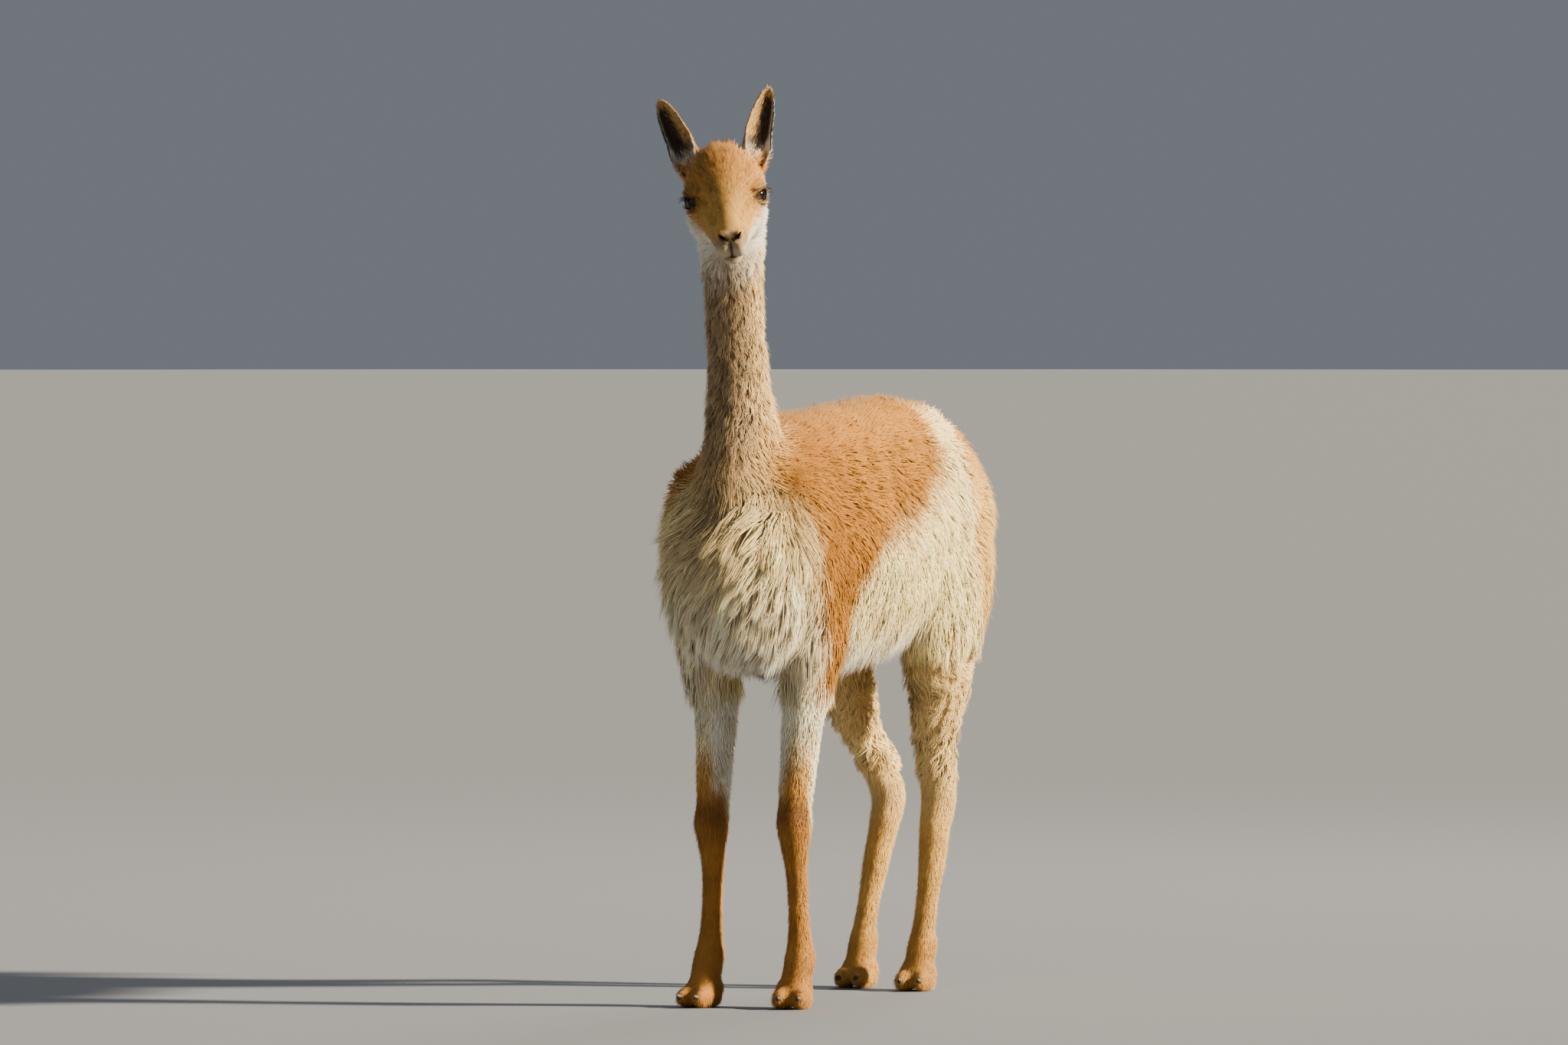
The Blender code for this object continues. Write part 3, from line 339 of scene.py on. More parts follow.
def softened_above(obj, height, band, rounds):
    """Softens only what lies above a height, more and more over a band."""
    group = obj.vertex_groups.new(name="soft")
    for vert in obj.data.vertices:
        group.add([vert.index], min(1, max(0, (vert.co.z - height) / band)), "REPLACE")
    soften = obj.modifiers.new("Soften", "SMOOTH")
    soften.iterations = rounds
    soften.vertex_group = group.name
    applied(obj)
    obj.vertex_groups.clear()
    return obj


def boolean(obj, operation, other):
    """Cuts or joins one object by another, which is then removed."""
    modifier = obj.modifiers.new(operation.title(), "BOOLEAN")
    modifier.operation = operation
    modifier.solver = "MANIFOLD"
    modifier.object = other
    applied(obj)
    remove([other])
    return obj


def vertex_array(data, kind="co"):
    """A mesh's vertices as an array, or their normals."""
    found = np.empty(len(data.vertices) * 3, np.float32)
    data.vertices.foreach_get(kind, found)
    return found.reshape(-1, 3).astype(float)


def move_vertices(data, points):
    """Puts a mesh's vertices at new points."""
    data.vertices.foreach_set("co", points.astype(np.float32).ravel())
    data.update()


def shade_smooth(data):
    data.polygons.foreach_set("use_smooth", np.ones(len(data.polygons), bool))


# %% [markdown]
# ## The manikin: trunk, legs and tail
# Each leg takes the table of its kind, and its stance moves the rows a little, so no two legs stand
# alike. The body is fused as one, legs and neck included. The neck narrows inside the head, where the
# finer head will cover it. A shallow groove is then pressed in on both sides of each cannon bone, where
# the tendons behind it part.


# %% Build the body
def leg_rows(name):
    """A leg's table with its stance: each row moves by a share that grows towards the foot."""
    hind, side = name.startswith("hind"), 1 if name.endswith("left") else -1
    at_top, at_foot, hock_back, hock_in, _ = STANCE[name]
    table = HINDLEG if hind else FORELEG
    rows = []
    for z, x, y, half_width, half_depth in table:
        share = (1 - z / table[0][0]) ** 0.8
        bend = math.exp(-(((z - HOCK) / 0.11) ** 2))
        back = at_top + (at_foot - at_top) * share + hock_back * bend
        rows.append((z, side * (x - hock_in * bend), y + back, half_width, half_depth))
    return rows


def foot_frame(name):
    """A foot's own frame on the floor: -Y runs to the toes."""
    side = 1 if name.endswith("left") else -1
    _, x, y, _, _ = leg_rows(name)[-1]
    return Matrix.Translation((x, y, 0)) @ Matrix.Rotation(side * STANCE[name][4], 4, "Z")


def toe_middles():
    """The middles of the two toes, in the foot's own frame."""
    across, ahead, up = TOE_MIDDLE
    return [Vector((side * TOE_WIDTH * across, -TOE_LENGTH * ahead, TOE_HEIGHT * up)) for side in (-1, 1)]


def leg_pieces(name):
    """The masses of one leg, less its coat."""
    side = 1 if name.endswith("left") else -1
    rows = leg_rows(name)
    pieces = [column(name, rows, lambda z: np.interp(z, *LEG_COAT))]
    if name.startswith("hind"):
        z, x, y, _, _ = next(row for row in rows if row[0] == HOCK)
        pieces.append(ball("heel", Vector((x, y, z)) + Vector(HEEL[0]), HEEL[1], (HEEL[2], 0, 0), HEEL_COAT))
        stifle = mirrored(STIFLE[0], side) + Vector((0, rows[2][2], 0))
        pieces.append(ball("stifle", stifle, STIFLE[1], (STIFLE[2], 0, 0), TRUNK_COAT))
    for middle in toe_middles():
        for share, offset in TOE_BALLS:
            half = (TOE_WIDTH * share[0], TOE_LENGTH * share[1], TOE_HEIGHT * share[2])
            toe = ball("toe", middle + Vector(offset), half, coat=TOE_COAT)
            toe.data.transform(foot_frame(name))
            pieces.append(toe)
    return pieces


def smooth_step(value, low, high):
    t = np.clip((value - low) / (high - low), 0, 1)
    return t * t * (3 - 2 * t)


def distance_to_line(points, line):
    """Each point's distance from a line of short straight runs."""
    nearest = np.full(len(points), 1.0)
    for a, b in zip(line, line[1:]):
        a, b = np.array(a), np.array(b)
        share = np.clip((points - a) @ (b - a) / ((b - a) @ (b - a)), 0, 1)
        nearest = np.minimum(nearest, np.linalg.norm(points - a - share[:, None] * (b - a), axis=1))
    return nearest


def stroke(points, normals, line, depth, width):
    """Sinks the skin along a line. A negative depth raises it."""
    away = distance_to_line(points, line)
    return points - normals * (depth * np.exp(-((away / width) ** 2)))[:, None]


# The groove beside the cannon bone: lowest and highest, and its place as a share of the leg's depth.
GROOVE_FROM, GROOVE_TO = 0.08, 0.25
GROOVE_BACK = 0.35


def tendons(body):
    """Presses in the groove between the cannon bone and the tendons behind it."""
    points, normals = vertex_array(body.data), vertex_array(body.data, "normal")
    for name in STANCE:
        rows = [row for row in leg_rows(name) if GROOVE_FROM < row[0] < GROOVE_TO]
        for side in (-1, 1):
            line = [Vector((x + side * wide, y + deep * GROOVE_BACK, z)) for z, x, y, wide, deep in rows]
            points = stroke(points, normals, line, depth=0.0042, width=0.0065)
    move_vertices(body.data, points)
    return body


# Inside the head the neck ends in these rows.
NECK_END = ((1.12, -0.004, -0.305, 0.036, 0.036), (1.15, 0, -0.31, 0.02, 0.02))


def build_body():
    """Trunk, neck, legs and tail as one skin."""
    neck = [row for row in NECK if row[0] < NECK_END[0][0]]
    pieces = [barrel("trunk", TRUNK, lambda y: TRUNK_COAT)]
    pieces.append(column("neck", [*neck, *NECK_END], lambda z: np.interp(z, *NECK_COAT)))
    pieces.append(column("tail", TAIL, lambda z: TAIL_COAT))
    for side in (-1, 1):
        for middle, half, tip in (SHOULDER, HAUNCH):
            pieces.append(ball("mass", mirrored(middle, side), half, (tip, 0, 0), TRUNK_COAT))
    for name in STANCE:
        pieces += leg_pieces(name)
    body = fused(joined("body", pieces), BODY_VOXEL, rounds=4)
    return tendons(softened_above(body, height=0.5, band=0.05, rounds=24))


BODY_VOXEL = 0.0056
body = build_body()
print("body:", len(body.data.polygons), "faces")

# %% [markdown]
# ## The head
# The skull is a barrel along the face, with balls for brow, cheek, jaw, lips and nose. It is fused on a
# finer grid than the body, because the eye reads a face more closely than a flank. All sizes are in the
# head's own frame: +Y runs back, +Z to the crown, and zero lies between the eyes.

# %% Tables of the head
HEAD = (
    (0.104, 0.030, 0.006, -0.020, 0.022),
    (0.090, 0.048, 0.004, -0.045, 0.043),
    (0.060, 0.060, 0.000, -0.060, 0.0545),
    (0.030, 0.062, -0.003, -0.066, 0.0570),
    (0.000, 0.054, -0.006, -0.066, 0.0530),
    (-0.025, 0.043, -0.012, -0.064, 0.0420),
    (-0.048, 0.031, -0.016, -0.060, 0.0325),
    (-0.070, 0.022, -0.018, -0.055, 0.0265),
    (-0.088, 0.015, -0.018, -0.048, 0.0235),
    (-0.101, 0.005, -0.018, -0.040, 0.0180),
    (-0.107, -0.006, -0.018, -0.030, 0.0090),
)
HEAD_COAT = ((-0.107, -0.088, -0.050, 0.0, 0.10), (0.0006, 0.0008, 0.0018, 0.003, 0.004))
HEAD_MASSES = (
    ("brow", (0.036, 0.006, 0.021), (0.019, 0.024, 0.011), 0.35, 0.0015),
    ("cheek", (0.031, 0.020, -0.030), (0.0245, 0.036, 0.032), 0, 0.003),
    ("jaw", (0.025, 0.030, -0.052), (0.024, 0.036, 0.022), 0, 0.003),
    ("lip", (0.0105, -0.093, -0.024), (0.0125, 0.016, 0.0165), 0, 0.0005),
    ("nostril_wing", (0.0115, -0.094, -0.004), (0.0085, 0.013, 0.0085), 0, 0.0003),
)
CHIN_AT = (0, -0.076, -0.050)
CHIN_HALF = (0.0155, 0.017, 0.0115)
LIP_AT = Vector((0.0115, -0.100, -0.027))
NOSE_TOP = Vector((0.0, -0.104, 0.003))
HEAD_AT = Vector((0.0139, -0.3658, 1.158))
HEAD_TURN = math.radians(24)
HEAD_TILT = math.radians(6.5)
HEAD_NOD = math.radians(27)
EYE_RADIUS = 0.0150
EYE_AT = Vector((0.0415, 0.003, 0.003))
EYE_LOOK = Vector((0.80, -0.56, 0.08)).normalized()
LID = 0.0032
ALMOND = 1.25
LID_OPENING = ((0.004, 0.0094, 0.0062), (0.026, 0.0190, 0.0138))
MUZZLE_MIDDLE = -0.078
MOUTH_HEIGHT = -0.0405
MOUTH_SMILE = 0.006
MOUTH_HALF_ANGLE = math.radians(112)
NOSTRIL_AT = Vector((0.0098, -0.1030, -0.0050))
NOSTRIL_HALF = (0.0088, 0.0085, 0.0024)
NOSTRIL_SLANT = math.radians(36)
EAR_LENGTH = 0.101
EAR_WIDTH = 0.042
EAR_WALL = 0.0034
EAR_ROOT = Vector((0.045, 0.058, 0.034))
EAR_TIP = Vector((0.078, 0.109, 0.113))
EAR_OPENS = Vector((0.42, -0.90, 0.30))
EAR_SUNK = 0.016
EAR_NARROWS = 0.3
EAR_WRAP_AT_ROOT = 128
EAR_WRAP_AT_TIP = 66
EAR_BASE = ((0, 0.006, -0.012), (0.014, 0.016, 0.017))
# The stub that carries the head: its first row, the height of its full width, and how it narrows below.
STUB_START = (1.02, -0.004, -0.297, 0.036, 0.038)
STUB_FULL = 1.085
STUB_TAPER = 0.12

to_body = (
    Matrix.Translation(HEAD_AT)
    @ Matrix.Rotation(HEAD_TURN, 4, "Z")
    @ Matrix.Rotation(-HEAD_TILT, 4, "Y")
    @ Matrix.Rotation(HEAD_NOD, 4, "X")
)
print("the head's place:", [tuple(round(c, 3) for c in row) for row in to_body])


# %% Eyes' own frames and the gap between the lids
def eye_frame(side):
    """The eyeball's frame: its Z looks out, its Y runs up the lids."""
    look = mirrored(EYE_LOOK, side)
    up = Vector((0, 0.12, 1))
    up = (up - up.project(look)).normalized()
    turn = Matrix((up.cross(look), up, look)).transposed().to_4x4()
    return Matrix.Translation(mirrored(EYE_AT, side)) @ turn


def lid_point(turn, reach, half_wide, half_high):
    """A point of the almond between the lids, at a reach from the eye's middle and in the eye's frame."""
    high = half_high * math.copysign(abs(math.sin(turn)) ** ALMOND, math.sin(turn))
    return Vector((half_wide * math.cos(turn), high, reach))


def lid_line(side, row, count=40):
    """Points round the almond, in the head's frame."""
    return [eye_frame(side) @ lid_point(turn, *row) for turn in turns(count)]


# %% [markdown]
# ## Folds of the face
# Some folds are too fine for balls: the line of the mouth, the split of the upper lip, the groove that
# runs from the eye to the nose. They are sculpted with numbers. Each is a line on the skin, and each
# point near it sinks by an amount that fades with distance, as a clay tool's stroke does.


# %% Sculpt strokes
def on_muzzle(tree, angle, height):
    """The point of the muzzle seen from its middle at an angle from the front."""
    inward = Vector((-math.sin(angle), math.cos(angle), 0))
    spot, _, _, _ = tree.ray_cast(Vector((0, MUZZLE_MIDDLE, height)) - inward * 0.06, inward)
    return spot


def find_folds(head):
    """The line of the mouth and the split of the upper lip, on the head's surface."""
    tree = BVHTree.FromObject(head, bpy.context.evaluated_depsgraph_get())
    shares = np.linspace(-1, 1, 25)
    mouth = [on_muzzle(tree, s * MOUTH_HALF_ANGLE, MOUTH_HEIGHT + MOUTH_SMILE * s**2) for s in shares]
    split = [on_muzzle(tree, 0, height) for height in np.linspace(MOUTH_HEIGHT, -0.006, 9)]
    return {"mouth": mouth, "split": split}


LIP_RISE = Vector((0, 0, 0.0050))
# Strokes on each side of the face: depth, width and line.
STROKES = {
    "tear_groove": (
        0.0046,
        0.0090,
        ((0.038, -0.020, 0.017), (0.0275, -0.045, 0.0145), (0.0205, -0.072, 0.0080)),
    ),
    "lip_crease": (
        0.0048,
        0.0052,
        ((0.020, -0.086, 0.000), (0.0225, -0.084, -0.014), (0.0215, -0.080, -0.030)),
    ),
    "lip_lobe": (-0.0022, 0.0060, ((0.010, -0.104, -0.020), (0.0115, -0.101, -0.032))),
    "cheek_bone": (-0.0018, 0.0080, ((0.043, -0.012, -0.014), (0.031, -0.050, -0.022))),
    "nose_wing": (-0.0016, 0.0035, ((0.006, -0.100, 0.000), (0.018, -0.094, -0.002))),
}


def sculpt(head):
    """Presses the fine folds into the head, in its own frame."""
    folds.update(find_folds(head))
    mouth = folds["mouth"]
    strokes = [
        (0.0042, 0.0021, mouth),
        (-0.0011, 0.0030, [spot + LIP_RISE for spot in mouth]),
        (-0.0008, 0.0030, [spot - LIP_RISE for spot in mouth]),
        (0.0040, 0.0021, folds["split"]),
    ]
    for side in (-1, 1):
        for depth, width, line in STROKES.values():
            strokes.append((depth, width, [mirrored(spot, side) for spot in line]))
    points, normals = vertex_array(head.data), vertex_array(head.data, "normal")
    for depth, width, line in strokes:
        points = stroke(points, normals, line, depth, width)
    move_vertices(head.data, points)
    return head


def nostril(side):
    """A comma that cuts into the wing of the nose."""
    turn = (0.3, -side * NOSTRIL_SLANT, -side * 0.5)
    slit = ball("nostril", mirrored(NOSTRIL_AT, side), NOSTRIL_HALF, turn)
    lobe = mirrored(NOSTRIL_AT - Vector((0.0048, -0.0004, 0.0034)), side)
    return [slit, ball("lobe", lobe, (0.0032, 0.0060, 0.0034), turn)]


# %% Build the head and its ears
def ear(side):
    """A cupped, pointed ear in the head's frame."""
    root, tip = mirrored(EAR_ROOT, side), mirrored(EAR_TIP, side)
    along = (tip - root).normalized()
    opening = mirrored(EAR_OPENS, side)
    opening = (opening - opening.project(along)).normalized()
    across = along.cross(opening)
    rings = []
    for t in np.linspace(0, 1, 40):
        narrowed = max(0, (t - EAR_NARROWS) / (1 - EAR_NARROWS))
        half = EAR_WIDTH / 2 * min(1, 0.62 + 1.3 * t) * math.sqrt(max(0.0025, 1 - narrowed**2))
        spread = math.radians(EAR_WRAP_AT_ROOT - (EAR_WRAP_AT_ROOT - EAR_WRAP_AT_TIP) * min(1, t / 0.45))
        radius = half / math.sin(min(spread, math.pi / 2))
        wall = EAR_WALL * (1 - 0.55 * t)
        middle = root + along * ((EAR_LENGTH + EAR_SUNK) * t - EAR_SUNK)
        outer, inner = [], []
        for share in np.linspace(-1, 1, 21):
            thick = wall * (1 - 0.6 * abs(share) ** 3)
            ray = across * math.sin(spread * share) - opening * math.cos(spread * share)
            outer.append(middle + opening * radius * 0.4 + ray * (radius + thick / 2))
            inner.append(middle + opening * radius * 0.4 + ray * max(radius - thick / 2, radius * 0.25))
        rings.append(outer + inner[::-1])
    return loft("ear", rings)


def build_head():
    """The head with lids, nostrils, mouth and ears, in the body's frame."""
    pieces = [barrel("skull", HEAD, lambda y: np.interp(y, *HEAD_COAT))]
    pieces.append(ball("chin", CHIN_AT, CHIN_HALF, coat=0.001))
    for side in (-1, 1):
        for name, middle, half, tip, coat in HEAD_MASSES:
            pieces.append(ball(name, mirrored(middle, side), half, (0, side * tip, 0), coat))
        pieces.append(ball("eye_mound", mirrored(EYE_AT, side), [EYE_RADIUS + LID] * 3))
        pieces.append(ball("ear_base", mirrored(EAR_ROOT, side) + Vector(EAR_BASE[0]), EAR_BASE[1]))
    neck = [STUB_START, *[row for row in NECK if row[0] >= STUB_FULL]]
    stub = column("stub", neck, lambda z: np.interp(z, *NECK_COAT) + max(0, STUB_FULL - z) * STUB_TAPER)
    stub.data.transform(to_body.inverted())
    head = sculpt(fused(joined("head", [*pieces, stub]), HEAD_VOXEL, rounds=4))
    for side in (-1, 1):
        for cutter in nostril(side):
            boolean(head, "DIFFERENCE", cutter)
        socket = ball("socket", (0, 0, 0), [EYE_RADIUS + GAP] * 3)
        socket.data.transform(eye_frame(side))
        boolean(head, "DIFFERENCE", socket)
        boolean(head, "DIFFERENCE", loft("lids", [lid_line(side, row) for row in LID_OPENING]))
        boolean(head, "UNION", ear(side))
    head.data.transform(to_body)
    return head


HEAD_VOXEL = 0.0018
folds = {}
head = build_head()
print("head:", len(head.data.polygons), "faces")

# %% [markdown]
# ## One skin
# Head and body cross inside the neck, so a Boolean union joins them in one closed surface. Its soles are
# pressed level at the floor. A smart projection then lays the skin out flat. Every tuft later gets its
# own small patch of that layout, at its root, so a baked picture of the coat agrees with that of the
# skin.


# %% Join and unwrap the skin
def largest_shell(obj):
    """Keeps the biggest closed surface of an object, as triangles."""
    mesh = bmesh.new()
    mesh.from_mesh(obj.data)
    left, shells = set(mesh.verts), []
    while left:
        stack, shell = [left.pop()], set()
        while stack:
            vert = stack.pop()
            shell.add(vert)
            for edge in vert.link_edges:
                other = edge.other_vert(vert)
                if other in left:
                    left.remove(other)
                    stack.append(other)
        shells.append(shell)
    keep = max(shells, key=len)
    bmesh.ops.delete(mesh, geom=[v for v in mesh.verts if v not in keep], context="VERTS")
    bmesh.ops.triangulate(mesh, faces=mesh.faces)
    mesh.to_mesh(obj.data)
    mesh.free()
    return obj


def unwrap(obj):
    """Lays a skin out flat in a map named OFBake."""
    obj.data.uv_layers.new(name="OFBake")
    bpy.context.view_layer.objects.active = obj
    obj.select_set(True)
    bpy.ops.object.mode_set(mode="EDIT")
    bpy.ops.mesh.select_all(action="SELECT")
    bpy.ops.uv.smart_project(angle_limit=math.radians(66), island_margin=0.002)
    bpy.ops.object.mode_set(mode="OBJECT")
    obj.select_set(False)


skin = boolean(body, "UNION", head)
skin.name = "skin"
largest_shell(skin)
skin.data.transform(Matrix.Translation(AT))
soles = vertex_array(skin.data)
soles[:, 2] = np.maximum(soles[:, 2], 0)
move_vertices(skin.data, soles)
unwrap(skin)
shade_smooth(skin.data)
print("skin:", len(skin.data.polygons), "triangles")

# %% [markdown]
# ## Where each kind of hair grows
# A vicuna wears many coats: wool on the trunk, a long bib on the chest, curls on the thighs, and short
# hair on face and shanks. Each place is a share from 0 to 1 at every point of the skin, so one kind of
# hair fades into the next.


# %% Places on the animal
HEAD_CUT = (0.0, -0.315, 1.085)
HEAD_CUT_TIP = math.radians(24)
NECK_CUT = (0.0, -0.285, 0.852)
NECK_CUT_TIP = math.radians(28)
to_head = np.array(to_body.inverted())
BIB_EDGE = ((0.49, 0.568, 0.656, 0.743, 0.80), (-0.235, -0.258, -0.292, -0.315, -0.350))


def placed(points, matrix):
    """Points moved by a matrix."""
    matrix = np.array(matrix)
    return points @ matrix[:3, :3].T + matrix[:3, 3]


def above(points, spot, tip, low, high):
    """How far points lie above a plane tipped about X: 0 at low, 1 at high."""
    normal = np.array((0, -math.sin(tip), math.cos(tip)))
    return smooth_step((points - np.array(spot)) @ normal, low, high)


def ear_measures(own):
    """For points in the head's frame: the share up the ear, the distance from its axis, how far out they
    lie to the side, and the ear's axis and opening."""
    side = np.where(own[:, 0] > 0, 1.0, -1.0)[:, None]
    flip = np.hstack([side, np.ones((len(own), 2))])
    along = np.array((EAR_TIP - EAR_ROOT).normalized())
    opening = np.array(EAR_OPENS)
    opening = opening - (opening @ along) * along
    opening /= np.linalg.norm(opening)
    offset = own * flip - np.array(EAR_ROOT)
    up = offset @ along
    away = np.linalg.norm(offset - up[:, None] * along, axis=1)
    return up / EAR_LENGTH, away, offset @ np.cross(along, opening), along * flip, opening * flip


def distance(points, spot):
    return np.linalg.norm(points - np.array(spot), axis=1)


def bare_skin(own):
    """Where the face has no hair: between the lids, in the nostrils and along the mouth."""
    away = distance_to_line(own, folds["mouth"])
    bare = 1 - smooth_step(away, 0.0022, 0.0038)
    for side in (-1, 1):
        eye = placed(own, eye_frame(side).inverted())
        almond = (eye[:, 0] / 0.0136) ** 2 + (eye[:, 1] / 0.0103) ** 2
        bare = np.maximum(bare, (1 - smooth_step(almond, 0.80, 1.05)) * (eye[:, 2] > 0))
        bare = np.maximum(bare, np.linalg.norm(eye, axis=1) < EYE_RADIUS + 0.0012)
        away = distance(own, mirrored(NOSTRIL_AT + Vector((0.001, 0.001, 0)), side))
        bare = np.maximum(bare, 1 - smooth_step(away, 0.0036, 0.0058))
    return bare


def find_places(points, normals):
    """Shares from 0 to 1 that say where on the animal each point lies."""
    m = points - AT
    x, y, z = np.abs(m[:, 0]), m[:, 1], m[:, 2]
    own = placed(m, to_head)
    head = above(m, HEAD_CUT, HEAD_CUT_TIP, -0.012, 0.018)
    neck = above(m, NECK_CUT, NECK_CUT_TIP, -0.08, 0.02) * (1 - head)
    trunk = (1 - head) * (1 - neck)
    leg_top = np.where(y > 0, 0.51, 0.465)
    leg = 1 - smooth_step(z - leg_top, -0.03, 0.02)
    shank = 1 - smooth_step(z, 0.285, 0.345)
    bib = smooth_step(np.interp(z, *BIB_EDGE) - y, -0.02, 0.04) * trunk * (1 - leg)
    tail_line = [Vector((x, y, z)) for z, x, y, _, _ in TAIL[1:]]
    tail = 1 - smooth_step(distance_to_line(m, tail_line), 0.024, 0.032)
    up, away, _, _, _ = ear_measures(own)
    ear = smooth_step(up, 0.0, 0.16) * (1 - smooth_step(away, 0.030, 0.042)) * head
    crown = head * smooth_step(own[:, 2], 0.036, 0.050) * smooth_step(own[:, 1], -0.02, 0.01)
    return {
        "back": smooth_step(normals[:, 2], 0.2, 0.8) * trunk * (1 - leg),
        "belly": (1 - smooth_step(z, 0.53, 0.58)) * trunk,
        "rump": smooth_step(y, 0.36, 0.43) * trunk,
        "bib": bib,
        "fringe": bib * (1 - smooth_step(z, 0.50, 0.575)),
        "leg": leg,
        "curly": leg * (1 - shank) * smooth_step(y, 0.10, 0.14),
        "shank": shank,
        "foot": 1 - smooth_step(z, 0.07, 0.11),
        "tail": tail,
        "neck": neck,
        "head": head,
        "crown": crown * (1 - ear),
        "cheek": head * smooth_step(-own[:, 2], 0.005, 0.030),
        "face": head * smooth_step(-own[:, 1], -0.005, 0.045),
        "muzzle": head * smooth_step(-own[:, 1], 0.062, 0.085),
        "ear": ear,
    }


# %% Kinds of hair
# Length, root width, lift off the skin, clumping, curl, and tufts to the square metre.
TRUNK_HAIR = (0.033, 0.0018, 0.42, 0.32, 0.0020, 71000)
HAIR = {
    "back": (0.032, 0.0017, 0.66, 0.40, 0.0026, 84000),
    "belly": (0.042, 0.0018, 0.44, 0.55, 0.0020, 78000),
    "rump": (0.034, 0.0018, 0.56, 0.36, 0.0024, 78000),
    "bib": (0.060, 0.0021, 0.34, 0.74, 0.0030, 142000),
    "fringe": (0.036, 0.0019, 0.30, 0.70, 0.0030, 110000),
    "leg": (0.0130, 0.0017, 0.50, 0.25, 0.0005, 165000),
    "curly": (0.021, 0.0020, 0.56, 0.66, 0.0046, 86000),
    "shank": (0.0105, 0.0015, 0.50, 0.25, 0.0004, 190000),
    "foot": (0.0085, 0.0013, 0.45, 0.15, 0.0002, 240000),
    "tail": (0.060, 0.0021, 0.30, 0.60, 0.0030, 115000),
    "neck": (0.026, 0.0014, 0.54, 0.58, 0.0018, 225000),
    "head": (0.0135, 0.0012, 0.70, 0.48, 0.0010, 450000),
    "crown": (0.0185, 0.0012, 0.86, 0.62, 0.0014, 400000),
    "cheek": (0.0185, 0.0011, 0.62, 0.34, 0.0006, 460000),
    "face": (0.0055, 0.0010, 0.42, 0.15, 0.0002, 650000),
    "muzzle": (0.0028, 0.0006, 0.35, 0.00, 0.0000, 900000),
    "ear": (0.0075, 0.0010, 0.40, 0.25, 0.0003, 600000),
}
print("kinds of hair:", len(HAIR) + 1)


def hair_values(places):
    """Each point's length, width, lift, clumping, curl and density, laid one kind over another."""
    values = np.tile(np.array(TRUNK_HAIR), (len(places["leg"]), 1))
    for kind, row in HAIR.items():
        values += (np.array(row) - values) * places[kind][:, None]
    return values.T


# %% [markdown]
# ## A lumpy fleece
# Wool mats into pads that part from one another, most of all on the thighs. Moving the skin in and out by
# a slow wave gives the tufts on it the same lumps, which costs no faces at all.

# %% Lumps under the wool
LUMP_SIZE = 0.016
LUMP_DEPTH = 0.0011


def wander(points, size, seed):
    """A smooth random vector at each point, which changes over about the given distance."""
    draw = np.random.default_rng(seed)
    total = np.zeros((len(points), 3))
    for _ in range(7):
        wave = draw.normal(size=(3, 3)) / size
        total += np.sin(points @ wave + draw.uniform(0, 2 * math.pi, 3))
    return total / math.sqrt(7)


def lumpy(obj):
    """Moves the skin in and out under the wool."""
    points, normals = vertex_array(obj.data), vertex_array(obj.data, "normal")
    places = find_places(points, normals)
    wool_share = (1 - places["head"]) * (1 - places["neck"]) * (1 - places["leg"]) * (1 - places["bib"])
    depth = LUMP_DEPTH * (wool_share + 2.6 * places["curly"])
    wave = wander(points, LUMP_SIZE, 31)[:, 0]
    points += normals * (depth * (wave - 0.3 * wave**2))[:, None]
    move_vertices(obj.data, points)


lumpy(skin)
print("lumps:", LUMP_DEPTH)

# %% [markdown]
# ## Markings
# Fawn on the back, cream from the flank up to the hip, a brown band down the shoulder, a cream bib and
# rusty lower legs. The face has pale cheeks and dark nostrils, and gold edges the ears. One function
# paints both the skin and the hair, from the place alone. So the two can't disagree, and no picture is
# needed. Edges are soft, as hairs of two colours mix along them, and a slow mottling keeps any one colour
# from looking flat.
# Painted shade also darkens the fur round the eyes, and reaches lower under the eye on the animal's right,
# the side in shade.

# %% Colours of the coat
FAWN = (0.42, 0.178, 0.017)
SADDLE = (0.25, 0.090, 0.008)
CREAM = (0.90, 0.68, 0.31)
WHITE = (0.88, 0.79, 0.63)
TAN = (0.64, 0.345, 0.080)
RUST = (0.40, 0.170, 0.030)
KNEE_BROWN = (0.13, 0.050, 0.015)
NECK_BROWN = (0.42, 0.280, 0.145)
NECK_SIDE = (0.80, 0.520, 0.210)
FOREHEAD = (0.50, 0.225, 0.048)
BRIDGE = (0.54, 0.285, 0.065)
MUZZLE = (0.30, 0.205, 0.110)
LIPS = (0.58, 0.49, 0.33)
NOSE_DARK = (0.060, 0.042, 0.032)
# Dark hair inside the ears. The same colour is also painted shade round the eyes.
EAR_DARK_AND_EYE_SHADE = (0.042, 0.028, 0.020)
EAR_GOLD = (0.60, 0.340, 0.110)
LEATHER = (0.012, 0.009, 0.008)
MOTTLE = 0.13
MOTTLE_SIZE = 0.011

# Edges on the trunk: the flank's height along the body, and the rump's start by height.
FLANK_EDGE = (
    (-0.16, -0.147, -0.140, -0.130, -0.0925, 0.030, 0.140, 0.170, 0.178, 0.205, 0.240, 0.320),
    (0.44, 0.486, 0.568, 0.622, 0.668, 0.714, 0.757, 0.785, 0.825, 0.850, 0.868, 0.920),
)
RUMP_EDGE = (
    (0.30, 0.47, 0.575, 0.66, 0.747, 0.80, 0.845, 0.87),
    (0.28, 0.262, 0.268, 0.252, 0.236, 0.26, 0.33, 0.38),
)


